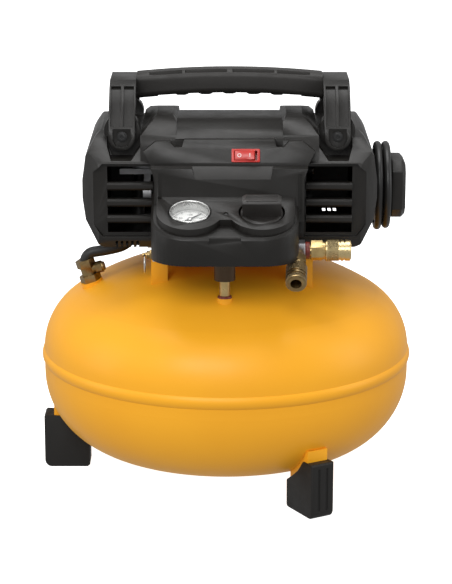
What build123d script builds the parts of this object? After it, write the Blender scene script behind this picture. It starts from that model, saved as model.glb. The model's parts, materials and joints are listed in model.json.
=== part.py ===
"""Pancake air compressor: a flat round air tank on three feet, with a belt-driven pump and motor under a
two-part shroud, a control console, two quick couplers and a wound power cord.

Frame: millimetres, +Z up, +X to the right seen from the console side, -Y towards the console.
The origin is on the floor, under the tank's axis.
"""

from build123d import *
import os
from math import acos, asin, cos, degrees, pi, radians, sin, sqrt, tan

os.makedirs("parts", exist_ok=True)

# ---------------------------------------------------------------- driving dimensions
TANK_R = 207.0  # outer radius of the tank's straight flange
SEAM_Z = 139.0  # height of the girth weld
SHEET = 2.5  # tank wall
UPPER_FLANGE, UPPER_KNUCKLE, UPPER_CROWN = 6.8, 72.0, 330.0
LOWER_FLANGE, LOWER_KNUCKLE, LOWER_CROWN = 19.1, 88.7, 600.0

SHROUD_X = 4.0  # the shroud's and handle's centre plane
SHROUD_HALF = 159.5
COVER_WALL = 3.0
PARTING_Y = -60.0  # where front and rear covers meet

SADDLE_X = 116.2  # handle saddles, each side of SHROUD_X
SADDLE_WIDTH = 28.6
HANDLE_Y = -13.5
HANDLE_BOLT_Z = 401.5

DECK_TILT = 19.0  # the instrument deck slopes down towards the user
DECK_Y, DECK_Z = -166.0, 337.4
GAUGE_X, KNOB_X = -38.0, 37.5

MANIFOLD_Y, MANIFOLD_Z = -141.0, 289.6

CORD_D = 8.4
WRAP_Z = 330.5  # centre of the cord wrap
WRAP_R = 50.3  # outside of the wound cord

RUN_FIT = 0.05  # radial clearance of a shaft or sleeve that moves in a bore


# ---------------------------------------------------------------- helpers
def block(low, high, mode=Mode.ADD):
    """A box between two corners, in the block being built."""
    size = [b - a for a, b in zip(low, high)]
    centre = tuple((a + b) / 2 for a, b in zip(low, high))
    with Locations(centre):
        Box(*size, mode=mode)


def rod(start, end, radius, mode=Mode.ADD):
    """A round bar between two points."""
    span = Vector(*end) - Vector(*start)
    with Locations(Plane(origin=start, z_dir=span)):
        Cylinder(radius, span.length, align=(Align.CENTER, Align.CENTER, Align.MIN), mode=mode)


def hexagon(start, end, flats, mode=Mode.ADD):
    """A hexagon bar between two points, flats being its width across flats."""
    span = Vector(*end) - Vector(*start)
    with BuildSketch(Plane(origin=start, z_dir=span)) as profile:
        RegularPolygon(flats / 2, 6, major_radius=False)
    extrude(profile.sketch, amount=span.length, mode=mode)


def turned(origin, direction, outline, mode=Mode.ADD):
    """A turned piece: outline holds (radius, height) points about an axis."""
    along = Vector(*direction).normalized()
    side = Vector(1, 0, 0) if abs(along.X) < 0.9 else Vector(0, 1, 0)
    across = (side - along * side.dot(along)).normalized()
    plane = Plane(origin=origin, x_dir=across, z_dir=across.cross(along))
    with BuildSketch(plane) as profile:
        with BuildLine():
            Polyline(*outline, close=True)
        make_face()
    revolve(profile.sketch, axis=Axis(origin, along), mode=mode)


def prism(plane, outline, depth, mode=Mode.ADD):
    """An outline on a plane, extruded along the plane's normal."""
    with BuildSketch(plane) as profile:
        with BuildLine():
            Polyline(*outline, close=True)
        make_face()
    extrude(profile.sketch, amount=depth, mode=mode)


def across_y(outline, front, back, mode=Mode.ADD):
    """An X-Z outline extruded between two Y values, front being the smaller."""
    prism(Plane.XZ.offset(-back), outline, back - front, mode)


def across_x(outline, left, right, mode=Mode.ADD):
    """A Y-Z outline extruded between two X values."""
    prism(Plane.YZ.offset(left), outline, right - left, mode)


def across_z(outline, low, high, mode=Mode.ADD):
    """An X-Y outline extruded between two heights."""
    prism(Plane.XY.offset(low), outline, high - low, mode)


def moved(start, direction, distance):
    """The point that lies a distance along a direction."""
    return tuple(Vector(*start) + Vector(*direction).normalized() * distance)


# ---------------------------------------------------------------- tank
def head_curve(flange, knuckle, crown, inset, up):
    """Radius and height points of a dished head: flange top, knuckle middle and end, crown middle and pole."""
    knuckle_r = TANK_R - knuckle
    tilt = asin(knuckle_r / (crown - knuckle))
    crown_z = flange + sqrt((crown - knuckle) ** 2 - knuckle_r**2)
    crown_z = flange - (crown_z - flange)
    side = 1 if up else -1

    def on_knuckle(angle):
        r = knuckle - inset
        return (knuckle_r + r * cos(angle), SEAM_Z + side * (flange + r * sin(angle)))

    def on_crown(angle):
        r = crown - inset
        return (r * sin(angle), SEAM_Z + side * (crown_z + r * cos(angle)))

    join = pi / 2 - tilt
    return [on_knuckle(0), on_knuckle(join / 2), on_crown(tilt), on_crown(tilt / 2), on_crown(0)]


def head_section(flange, knuckle, crown, up, solid=False):
    """Draws a head's half section: a sheet, or everything inside the outer curve."""
    a, b, c, d, e = head_curve(flange, knuckle, crown, 0, up)
    Line((a[0], SEAM_Z), a)
    ThreePointArc(a, b, c)
    ThreePointArc(c, d, e)
    if solid:
        Line(e, (0, SEAM_Z))
        Line((0, SEAM_Z), (a[0], SEAM_Z))
        return
    f, g, h, i, j = head_curve(flange, knuckle, crown, SHEET, up)
    Line(e, j)
    ThreePointArc(j, i, h)
    ThreePointArc(h, g, f)
    Line(f, (f[0], SEAM_Z))
    Line((f[0], SEAM_Z), (a[0], SEAM_Z))


def upper_head_z(radius):
    """Height of the tank's top surface on its crown."""
    pole = head_curve(UPPER_FLANGE, UPPER_KNUCKLE, UPPER_CROWN, 0, True)[4][1]
    return pole - UPPER_CROWN + sqrt(UPPER_CROWN**2 - radius**2)


RISER_XY = (-1.4, -126.0)
RISER_Z = upper_head_z(sqrt(RISER_XY[0] ** 2 + RISER_XY[1] ** 2))
CHECK_XY = (-151.0, -11.5)
CHECK_Z = upper_head_z(sqrt(CHECK_XY[0] ** 2 + CHECK_XY[1] ** 2))
CHECK_BASE = (*CHECK_XY, CHECK_Z)
CHECK_AXIS = (-0.30, -0.03, 0.953)
DRAIN_TOP = head_curve(LOWER_FLANGE, LOWER_KNUCKLE, LOWER_CROWN, 0, False)[4][1]

BUNGS = [  # mouth point, direction out of the tank, outer radius, bore radius
    ((*RISER_XY, RISER_Z + 2.5), (0, 0, 1), 8.4, 4.4),
    (moved(CHECK_BASE, CHECK_AXIS, 3.5), CHECK_AXIS, 12.5, 6.0),
    ((0, 0, DRAIN_TOP - 4.0), (0, 0, -1), 9.0, 3.0),
]
BUNG_LENGTH = 13.0

with BuildPart() as tank_envelope:
    with BuildSketch(Plane.XZ):
        with BuildLine():
            head_section(UPPER_FLANGE, UPPER_KNUCKLE, UPPER_CROWN, True, solid=True)
        make_face()
        with BuildLine():
            head_section(LOWER_FLANGE, LOWER_KNUCKLE, LOWER_CROWN, False, solid=True)
        make_face()
    revolve(axis=Axis.Z)

with BuildPart() as tank_upper_head:
    with BuildSketch(Plane.XZ):
        with BuildLine():
            head_section(UPPER_FLANGE, UPPER_KNUCKLE, UPPER_CROWN, True)
        make_face()
    revolve(axis=Axis.Z)
    for mouth, out, outer, bore in BUNGS[:2]:
        rod(moved(mouth, out, 5), moved(mouth, out, -30), outer, Mode.SUBTRACT)
tank_upper_head.part.label = "tank_upper_head"
export_step(tank_upper_head.part, "parts/tank_upper_head.step")

with BuildPart() as tank_lower_head:
    with BuildSketch(Plane.XZ):
        with BuildLine():
            head_section(LOWER_FLANGE, LOWER_KNUCKLE, LOWER_CROWN, False)
        make_face()
    revolve(axis=Axis.Z)
    for mouth, out, outer, bore in BUNGS[2:]:
        rod(moved(mouth, out, 5), moved(mouth, out, -30), outer, Mode.SUBTRACT)
tank_lower_head.part.label = "tank_lower_head"
export_step(tank_lower_head.part, "parts/tank_lower_head.step")

BAND_HALF, BAND_BULGE = 6.8, 2.5
with BuildPart() as tank_weld_band:
    with BuildSketch(Plane.XZ):
        with BuildLine():
            band_top = (TANK_R, SEAM_Z + BAND_HALF)
            band_low = (TANK_R, SEAM_Z - BAND_HALF)
            ThreePointArc(band_low, (TANK_R + BAND_BULGE, SEAM_Z), band_top)
            Line(band_top, band_low)
        make_face()
    revolve(axis=Axis.Z)
tank_weld_band.part.label = "tank_weld_band"
export_step(tank_weld_band.part, "parts/tank_weld_band.step")

with BuildPart() as tank_bungs:
    for mouth, out, outer, bore in BUNGS:
        rod(mouth, moved(mouth, out, -BUNG_LENGTH), outer)
    for mouth, out, outer, bore in BUNGS:
        rod(moved(mouth, out, 1), moved(mouth, out, -BUNG_LENGTH - 1), bore, Mode.SUBTRACT)
tank_bungs.part.label = "tank_bungs"
export_step(tank_bungs.part, "parts/tank_bungs.step")

# ---------------------------------------------------------------- feet
FOOT_ANGLES = {"left": 180.0, "front": -60.0, "rear": 60.0}
FOOT_OUTER, FOOT_INNER = 209.0, 157.0
FOOT_WIDTH = 28.5
FOOT_HEIGHT = 63.0
FOOT_ROUND = 8.0
TAB_WIDTH = 24.6
TAB_OUTER = 197.5
TAB_TOP = 75.0


for place, angle in FOOT_ANGLES.items():
    with BuildPart() as foot_bracket:
        block((162, -TAB_WIDTH / 2, 20), (TAB_OUTER, TAB_WIDTH / 2, TAB_TOP))
        inner_half = TAB_WIDTH / 2 - SHEET
        block((150, -inner_half, 10), (TAB_OUTER - SHEET, inner_half, TAB_TOP + 9), Mode.SUBTRACT)
        add(tank_envelope.part, mode=Mode.SUBTRACT)
    bracket = foot_bracket.part.solids().sort_by(SortBy.VOLUME)[-1].rotate(Axis.Z, angle)
    bracket.label = f"foot_bracket_{place}"
    export_step(bracket, f"parts/foot_bracket_{place}.step")

    with BuildPart() as rubber_foot:
        with BuildSketch(Plane.XZ.offset(-FOOT_WIDTH / 2)):
            with BuildLine():
                Polyline((FOOT_OUTER, FOOT_ROUND), (FOOT_OUTER, FOOT_HEIGHT - 2), (FOOT_OUTER - 2, FOOT_HEIGHT),
                         (190, FOOT_HEIGHT - 1), (180, 49), (170, 41), (FOOT_INNER, 32), (FOOT_INNER, 3),
                         (FOOT_INNER + 3, 0), (FOOT_OUTER - FOOT_ROUND, 0))
                RadiusArc((FOOT_OUTER - FOOT_ROUND, 0), (FOOT_OUTER, FOOT_ROUND), -FOOT_ROUND)
            make_face()
        extrude(amount=FOOT_WIDTH)
        chamfer(rubber_foot.faces().sort_by(Axis.Y)[0].edges().group_by(Axis.X)[-1], 1.5)
        chamfer(rubber_foot.faces().sort_by(Axis.Y)[-1].edges().group_by(Axis.X)[-1], 1.5)
        block((162, -TAB_WIDTH / 2, 20), (TAB_OUTER, TAB_WIDTH / 2, TAB_TOP), Mode.SUBTRACT)
        for groove_y in (-5.0, 5.0):
            block((FOOT_OUTER - 1.2, groove_y - 1.4, 9), (FOOT_OUTER + 1, groove_y + 1.4, 57), Mode.SUBTRACT)
    foot = rubber_foot.part.rotate(Axis.Z, angle)
    foot.label = f"rubber_foot_{place}"
    export_step(foot, f"parts/rubber_foot_{place}.step")

# ---------------------------------------------------------------- drain valve under the tank
DRAIN_Z = 9.5
with BuildPart() as drain_valve_body:
    rod((0, 0, DRAIN_TOP - 4.0), (0, 0, DRAIN_Z), 5.5)
    rod((0, 9.5, DRAIN_Z), (0, 18, DRAIN_Z), 5.0)
    rod((0, -5, DRAIN_Z), (0, 18, DRAIN_Z), 3.7)
    rod((0, 17, DRAIN_Z), (0, 34, DRAIN_Z), 2.4)
    rod((0, 0, DRAIN_TOP + 2), (0, 0, DRAIN_Z), 1.5, Mode.SUBTRACT)
drain_valve_body.part.label = "drain_valve_body"
export_step(drain_valve_body.part, "parts/drain_valve_body.step")

with BuildPart() as drain_valve_knob:
    rod((0, 20, DRAIN_Z), (0, 33, DRAIN_Z), 6.8)
    rod((0, 19, DRAIN_Z), (0, 34.5, DRAIN_Z), 2.4 + RUN_FIT, Mode.SUBTRACT)
    for turn in range(12):
        spoke = radians(turn * 30)
        ridge = (7.2 * cos(spoke), DRAIN_Z + 7.2 * sin(spoke))
        rod((ridge[0], 19, ridge[1]), (ridge[0], 34, ridge[1]), 0.8, Mode.SUBTRACT)
drain_valve_knob.part.label = "drain_valve_knob"
export_step(drain_valve_knob.part, "parts/drain_valve_knob.step")

# ---------------------------------------------------------------- pump platform on the tank
PLATFORM = (-82.0, 95.0, -80.0, 84.0)  # left, right, front, back
PLATFORM_Z = 262.0
PLATE = 2.5
LEG_WIDTH = 18.0
BASE_Z = 275.0  # underside of the pump's base plate
BASE_TOP = BASE_Z + 3.0
BASE = (-86.0, 100.0, -72.0, 90.0)
ISOLATOR_XY = [(-72.5, -50.0), (-72.5, 56.0), (82.0, -58.0), (82.0, 64.0)]

with BuildPart() as pump_platform:
    left, right, front, back = PLATFORM
    block((left, front, PLATFORM_Z), (right, back, PLATFORM_Z + PLATE))
    block((left + 30, front + 25, PLATFORM_Z - 1), (right - 30, back - 25, PLATFORM_Z + PLATE + 1), Mode.SUBTRACT)
    for leg_x in (left, right - LEG_WIDTH):
        for leg_y in (front, back - PLATE):
            block((leg_x, leg_y, 215), (leg_x + LEG_WIDTH, leg_y + PLATE, PLATFORM_Z + PLATE))
    for leg_x in (left, right - PLATE):
        for leg_y in (front, back - LEG_WIDTH):
            block((leg_x, leg_y, 205), (leg_x + PLATE, leg_y + LEG_WIDTH, PLATFORM_Z + PLATE))
    add(tank_envelope.part, mode=Mode.SUBTRACT)
    for x, y in ISOLATOR_XY:
        rod((x, y, PLATFORM_Z - 1), (x, y, PLATFORM_Z + PLATE + 1), 6.0, Mode.SUBTRACT)
pump_platform.part.label = "pump_platform"
export_step(pump_platform.part, "parts/pump_platform.step")

with BuildPart() as rubber_isolators:
    for x, y in ISOLATOR_XY:
        turned((x, y, 0), (0, 0, 1), [(0, 254), (7, 254), (8.5, 256), (8.5, PLATFORM_Z), (6, PLATFORM_Z),
               (6, PLATFORM_Z + PLATE), (9, PLATFORM_Z + PLATE), (10, 267), (10, 273), (9, BASE_Z),
               (3.2, BASE_Z), (3.2, BASE_TOP), (6, BASE_TOP), (6, BASE_TOP + 4), (0, BASE_TOP + 4)])
rubber_isolators.part.label = "rubber_isolators"
export_step(rubber_isolators.part, "parts/rubber_isolators.step")

with BuildPart() as pump_base_plate:
    left, right, front, back = BASE
    block((left, front, BASE_Z), (right, back, BASE_Z + 3))
    for x, y in ISOLATOR_XY:
        rod((x, y, BASE_Z - 1), (x, y, BASE_Z + 4), 3.2, Mode.SUBTRACT)
    block((-30, -20, BASE_Z - 1), (60, 30, BASE_Z + 4), Mode.SUBTRACT)
pump_base_plate.part.label = "pump_base_plate"
export_step(pump_base_plate.part, "parts/pump_base_plate.step")


# ---------------------------------------------------------------- motor
MOTOR_Y, MOTOR_Z = 45.0, 338.0
MOTOR_LEFT, MOTOR_RIGHT = -14.0, 84.0
MOTOR_R, STATOR_BORE = 43.0, 25.0
SHAFT_R = 5.0
PULLEY_LEFT, PULLEY_RIGHT = -38.0, -24.0


def on_motor(x, y=0.0, z=0.0):
    return (x, MOTOR_Y + y, MOTOR_Z + z)


with BuildPart() as motor_housing:
    rod(on_motor(MOTOR_LEFT), on_motor(MOTOR_RIGHT), MOTOR_R)
    rod(on_motor(MOTOR_LEFT + 4), on_motor(MOTOR_RIGHT - 4), MOTOR_R - 2.5, Mode.SUBTRACT)
    rod(on_motor(MOTOR_LEFT - 1), on_motor(MOTOR_RIGHT + 1), 8.0, Mode.SUBTRACT)
    for turn in range(8):
        spoke = radians(turn * 45 + 22.5)
        y, z = 27 * cos(spoke), 27 * sin(spoke)
        rod(on_motor(MOTOR_LEFT - 1, y, z), on_motor(MOTOR_RIGHT + 1, y, z), 7.0, Mode.SUBTRACT)
    block((-4, MOTOR_Y - 30, BASE_TOP), (12, MOTOR_Y + 30, MOTOR_Z - MOTOR_R + 8))
    block((58, MOTOR_Y - 30, BASE_TOP), (74, MOTOR_Y + 30, MOTOR_Z - MOTOR_R + 8))
    rod(on_motor(MOTOR_LEFT + 4), on_motor(MOTOR_RIGHT - 4), MOTOR_R - 2.5, Mode.SUBTRACT)
motor_housing.part.label = "motor_housing"
export_step(motor_housing.part, "parts/motor_housing.step")

with BuildPart() as motor_stator:
    rod(on_motor(10), on_motor(60), MOTOR_R - 2.5)
    rod(on_motor(9), on_motor(61), STATOR_BORE, Mode.SUBTRACT)
motor_stator.part.label = "motor_stator"
export_step(motor_stator.part, "parts/motor_stator.step")

with BuildPart() as armature:
    rod(on_motor(PULLEY_LEFT - 3), on_motor(100), SHAFT_R)
    rod(on_motor(12), on_motor(58), STATOR_BORE - 0.8)
    for turn in range(12):
        spoke = radians(turn * 30)
        y, z = 24 * cos(spoke), 24 * sin(spoke)
        rod(on_motor(11, y, z), on_motor(59, y, z), 1.6, Mode.SUBTRACT)
    rod(on_motor(66), on_motor(78), 13)
armature.part.label = "armature"
export_step(armature.part, "parts/armature.step")

PINION_R, BELT, CRANK_PULLEY_R = 10.0, 3.0, 44.0
with BuildPart() as motor_pulley:
    rod(on_motor(PULLEY_LEFT), on_motor(PULLEY_RIGHT), PINION_R)
    rod(on_motor(PULLEY_LEFT), on_motor(PULLEY_LEFT + 1.5), PINION_R + 2)
    rod(on_motor(PULLEY_RIGHT - 1.5), on_motor(PULLEY_RIGHT), PINION_R + 2)
    rod(on_motor(PULLEY_LEFT - 1), on_motor(PULLEY_RIGHT + 1), SHAFT_R, Mode.SUBTRACT)
motor_pulley.part.label = "motor_pulley"
export_step(motor_pulley.part, "parts/motor_pulley.step")

FAN_LEFT, FAN_RIGHT, FAN_R = 86.0, 98.0, 38.0
with BuildPart() as motor_fan:
    rod(on_motor(FAN_LEFT), on_motor(FAN_RIGHT), 9)
    rod(on_motor(FAN_LEFT), on_motor(FAN_LEFT + 2), FAN_R)
    for turn in range(9):
        spoke = radians(turn * 40)
        blade = Plane(origin=on_motor(FAN_LEFT + 1), x_dir=(0, cos(spoke), sin(spoke)), z_dir=(1, 0, 0))
        prism(blade, [(8, -1), (FAN_R - 1, 3), (FAN_R - 1, 5), (8, 1)], FAN_RIGHT - FAN_LEFT - 1)
    rod(on_motor(FAN_LEFT - 1), on_motor(FAN_RIGHT + 1), SHAFT_R, Mode.SUBTRACT)
motor_fan.part.label = "motor_fan"
export_step(motor_fan.part, "parts/motor_fan.step")

# ---------------------------------------------------------------- crank and pump
CRANK_Y, CRANK_Z = -34.0, 328.0
CASE_LEFT, CASE_RIGHT = -66.0, -44.0
THROW = 11.0
CYLINDER_X = -87.0
BORE_R = 24.0
DECK_TOP = 362.0
CYLINDER_TOP = 395.5
PIN_END = -81.5
PORT_X, PORT_Y = -97.0, 3.0  # where the discharge hose meets the head


def on_crank(x, y=0.0, z=0.0):
    return (x, CRANK_Y + y, CRANK_Z + z)


with BuildPart() as crank_pulley:
    rod(on_crank(PULLEY_LEFT), on_crank(PULLEY_RIGHT), CRANK_PULLEY_R)
    for x0, x1 in ((PULLEY_LEFT - 1, PULLEY_LEFT + 4), (PULLEY_RIGHT - 4, PULLEY_RIGHT + 1)):
        rod(on_crank(x0), on_crank(x1), CRANK_PULLEY_R - 5, Mode.SUBTRACT)
    rod(on_crank(PULLEY_LEFT), on_crank(PULLEY_RIGHT), 13)
    for turn in range(6):
        spoke = radians(turn * 60)
        y, z = 26 * cos(spoke), 26 * sin(spoke)
        rod(on_crank(PULLEY_LEFT, y, z), on_crank(PULLEY_RIGHT, y, z), 8, Mode.SUBTRACT)
    rod(on_crank(PULLEY_LEFT - 1), on_crank(PULLEY_RIGHT + 1), 6.0, Mode.SUBTRACT)
crank_pulley.part.label = "crank_pulley"
export_step(crank_pulley.part, "parts/crank_pulley.step")

with BuildPart() as drive_belt:
    far = Vector(0, CRANK_Y, CRANK_Z) - Vector(0, MOTOR_Y, MOTOR_Z)
    lean = degrees(acos((CRANK_PULLEY_R - PINION_R) / far.length))
    aim = Vector(0, 1, 0).get_signed_angle(-far, Vector(1, 0, 0))
    belt_left, belt_right = PULLEY_LEFT + 2.5, PULLEY_RIGHT - 2.5
    for grow, mode in ((BELT + 0.5, Mode.ADD), (0.5, Mode.SUBTRACT)):
        small, large = PINION_R + grow, CRANK_PULLEY_R + grow
        corners = []
        for heading in (radians(aim + lean), radians(aim - lean)):
            y, z = cos(heading), sin(heading)
            corners.append([(MOTOR_Y + small * y, MOTOR_Z + small * z),
                            (CRANK_Y + large * y, CRANK_Z + large * z)])
        rod(on_motor(belt_left), on_motor(belt_right), small, mode)
        rod(on_crank(belt_left), on_crank(belt_right), large, mode)
        across_x(corners[0] + corners[1][::-1], belt_left, belt_right, mode)
drive_belt.part.label = "drive_belt"
export_step(drive_belt.part, "parts/drive_belt.step")

with BuildPart() as crankcase:
    block((CASE_LEFT, CRANK_Y - 30, BASE_TOP), (CASE_RIGHT, CRANK_Y + 30, DECK_TOP - 6))
    block((CYLINDER_X - 29, CRANK_Y - 30, DECK_TOP - 6), (CASE_RIGHT, CRANK_Y + 30, DECK_TOP))
    block((CASE_LEFT + 3, CRANK_Y - 24, BASE_TOP + 5), (CASE_RIGHT + 1, CRANK_Y - 16, DECK_TOP - 12), Mode.SUBTRACT)
    block((CASE_LEFT + 3, CRANK_Y + 16, BASE_TOP + 5), (CASE_RIGHT + 1, CRANK_Y + 24, DECK_TOP - 12), Mode.SUBTRACT)
    rod((CYLINDER_X, CRANK_Y, DECK_TOP - 8), (CYLINDER_X, CRANK_Y, DECK_TOP + 1), BORE_R, Mode.SUBTRACT)
    rod(on_crank(CASE_LEFT - 1), on_crank(CASE_RIGHT + 1), 13, Mode.SUBTRACT)
crankcase.part.label = "crankcase"
export_step(crankcase.part, "parts/crankcase.step")

with BuildPart() as shaft_bearings:
    for x0, x1 in ((CASE_LEFT, CASE_LEFT + 8), (CASE_RIGHT - 8, CASE_RIGHT)):
        rod(on_crank(x0), on_crank(x1), 13)
        rod(on_crank(x0 - 1), on_crank(x1 + 1), 6.0 + RUN_FIT, Mode.SUBTRACT)
    for x0, x1 in ((MOTOR_LEFT, MOTOR_LEFT + 4), (MOTOR_RIGHT - 4, MOTOR_RIGHT)):
        rod(on_motor(x0), on_motor(x1), 8.0)
        rod(on_motor(x0 - 1), on_motor(x1 + 1), SHAFT_R + RUN_FIT, Mode.SUBTRACT)
shaft_bearings.part.label = "shaft_bearings"
export_step(shaft_bearings.part, "parts/shaft_bearings.step")

with BuildPart() as crankshaft:
    rod(on_crank(CASE_LEFT - 2), on_crank(PULLEY_RIGHT + 3), 6.0)
    rod(on_crank(CASE_LEFT - 9), on_crank(CASE_LEFT - 1), 23)
    rod(on_crank(PIN_END, THROW, 0), on_crank(CASE_LEFT - 8, THROW, 0), 5.0)
crankshaft.part.label = "crankshaft"
export_step(crankshaft.part, "parts/crankshaft.step")

with BuildPart() as piston_rod:
    ring_left, ring_right = CYLINDER_X - 4.5, CYLINDER_X + 4.5
    rod(on_crank(ring_left), on_crank(ring_right), 13)
    block((ring_left + 1, CRANK_Y - 6, CRANK_Z + 8), (ring_right - 1, CRANK_Y + 6, 375))
    rod((CYLINDER_X, CRANK_Y, 373), (CYLINDER_X, CRANK_Y, 381), BORE_R - 1.0)
    rod((CYLINDER_X, CRANK_Y, 380), (CYLINDER_X, CRANK_Y, 383), BORE_R - RUN_FIT)
    rod(on_crank(ring_left - 1), on_crank(ring_right + 1), 8, Mode.SUBTRACT)
piston_rod.part.label = "piston_rod"
export_step(piston_rod.part, "parts/piston_rod.step")

with BuildPart() as cylinder:
    rod((CYLINDER_X, CRANK_Y, DECK_TOP), (CYLINDER_X, CRANK_Y, CYLINDER_TOP), BORE_R + 2.5)
    for level in range(5):
        fin_z = DECK_TOP + 5 + level * 5.6
        rod((CYLINDER_X, CRANK_Y, fin_z), (CYLINDER_X, CRANK_Y, fin_z + 1.6), BORE_R + 5.5)
    rod((CYLINDER_X, CRANK_Y, DECK_TOP - 1), (CYLINDER_X, CRANK_Y, CYLINDER_TOP + 1), BORE_R, Mode.SUBTRACT)
cylinder.part.label = "cylinder"
export_step(cylinder.part, "parts/cylinder.step")

with BuildPart() as cylinder_head:
    block((CYLINDER_X - 26, CRANK_Y - 26, CYLINDER_TOP), (CYLINDER_X + 26, CRANK_Y + 26, CYLINDER_TOP + 2.5))
    edges_up = cylinder_head.edges().filter_by(Axis.Z)
    chamfer(edges_up, 5)
    block((CYLINDER_X - 21, CRANK_Y - 21, CYLINDER_TOP + 2), (CYLINDER_X + 21, CRANK_Y + 21, CYLINDER_TOP + 5))
    block((PORT_X - 8, CRANK_Y + 20, CYLINDER_TOP), (PORT_X + 8, PORT_Y + 8, CYLINDER_TOP + 4.5))
    rod((PORT_X, PORT_Y, CYLINDER_TOP - 9), (PORT_X, PORT_Y, CYLINDER_TOP), 8.0)
cylinder_head.part.label = "cylinder_head"
export_step(cylinder_head.part, "parts/cylinder_head.step")

# ---------------------------------------------------------------- compressed air fittings
DECK_SIN, DECK_COS = sin(radians(DECK_TILT)), cos(radians(DECK_TILT))
DECK_NORMAL = (0, -DECK_SIN, DECK_COS)


def on_deck(x, up=0.0, lift=0.0):
    """A point on the instrument deck: up the slope from the lobes' centre line, and lifted off it."""
    return (x, DECK_Y + up * DECK_COS - lift * DECK_SIN, DECK_Z + up * DECK_SIN + lift * DECK_COS)


MANIFOLD_LEFT, MANIFOLD_RIGHT = -78.0, 84.0
MANIFOLD_HALF = 9.5
MANIFOLD_BOTTOM = MANIFOLD_Z - 10.0
UNION_Z, UNION_R = 253.5, 11.5  # the wide upper part of the riser
COUPLER_TILT = 24.0
SIDE_START, SIDE_AXIS = (MANIFOLD_RIGHT, MANIFOLD_Y, MANIFOLD_Z), (1, 0, 0)
FRONT_START = (75.5, MANIFOLD_Y - MANIFOLD_HALF, MANIFOLD_Z - 2.9)
FRONT_AXIS = (-0.05, -cos(radians(COUPLER_TILT)), -sin(radians(COUPLER_TILT)))
NIPPLE_R, SEAL_LENGTH = 6.5, 5.0
RELIEF_START = (MANIFOLD_LEFT, MANIFOLD_Y, 284.5)
RELIEF_HEX, RELIEF_END, STEM_END = 3.5, 6.4, 11.0  # distances from the manifold's left end
REGULATOR_BOTTOM = -41.0

with BuildPart() as manifold:
    block((MANIFOLD_LEFT, MANIFOLD_Y - MANIFOLD_HALF, MANIFOLD_BOTTOM),
          (MANIFOLD_RIGHT, MANIFOLD_Y + MANIFOLD_HALF, MANIFOLD_Z + MANIFOLD_HALF))
    block((RISER_XY[0] - 13, MANIFOLD_Y, MANIFOLD_BOTTOM),
          (RISER_XY[0] + 13, RISER_XY[1] + 13, MANIFOLD_Z + MANIFOLD_HALF))
    block((GAUGE_X - 9, MANIFOLD_Y - 20, MANIFOLD_BOTTOM),
          (GAUGE_X + 9, MANIFOLD_Y, MANIFOLD_Z + MANIFOLD_HALF))
    rod(on_deck(GAUGE_X, 0, -47), on_deck(GAUGE_X, 0, -30), 5.0, Mode.SUBTRACT)
    rod(on_deck(KNOB_X, 0, REGULATOR_BOTTOM - 4), on_deck(KNOB_X, 0, -15), 17)
    rod(on_deck(KNOB_X, 0, -16), on_deck(KNOB_X, 0, -9), 11)
    rod(on_deck(KNOB_X, 0, -30), on_deck(KNOB_X, 0, -8), 4.0 + RUN_FIT, Mode.SUBTRACT)
    rod(moved(SIDE_START, SIDE_AXIS, -9), moved(SIDE_START, SIDE_AXIS, 1), NIPPLE_R, Mode.SUBTRACT)
    rod(moved(FRONT_START, FRONT_AXIS, -2.4), moved(FRONT_START, FRONT_AXIS, 5), NIPPLE_R, Mode.SUBTRACT)
    rod(moved(RELIEF_START, (1, 0, 0), 9), moved(RELIEF_START, (-1, 0, 0), 1), 3.2, Mode.SUBTRACT)
    rod((*RISER_XY, MANIFOLD_Z - 20), (*RISER_XY, MANIFOLD_Z), 7.0, Mode.SUBTRACT)
manifold.part.label = "manifold"
export_step(manifold.part, "parts/manifold.step")

with BuildPart() as riser_nipple:
    low = RISER_Z - 6
    turned((*RISER_XY, 0), (0, 0, 1), [(0, low), (4.4, low), (4.4, RISER_Z + 2.5), (5.8, RISER_Z + 2.5),
           (5.8, UNION_Z), (UNION_R, UNION_Z), (UNION_R, MANIFOLD_BOTTOM), (7.0, MANIFOLD_BOTTOM), (7.0, MANIFOLD_Z),
           (0, MANIFOLD_Z)])
    rod((*RISER_XY, low - 1), (*RISER_XY, MANIFOLD_Z + 1), 2.6, Mode.SUBTRACT)
riser_nipple.part.label = "riser_nipple"
export_step(riser_nipple.part, "parts/riser_nipple.step")

with BuildPart() as thread_sealant:
    turned((*RISER_XY, RISER_Z), (0, 0, 1), [(5.8, 2.5), (7.8, 2.5), (7.3, 4.5), (5.8, 5.2)])
    turned(SIDE_START, SIDE_AXIS,
           [(NIPPLE_R, 0), (8.6, 0), (9.4, 1.5), (9.0, SEAL_LENGTH), (NIPPLE_R, SEAL_LENGTH)])
    turned(FRONT_START, FRONT_AXIS, [(NIPPLE_R, 3.8), (8.2, 3.8), (8.4, 4.6), (8.0, 6.2), (NIPPLE_R, 6.2)])
thread_sealant.part.label = "thread_sealant"
export_step(thread_sealant.part, "parts/thread_sealant.step")

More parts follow.
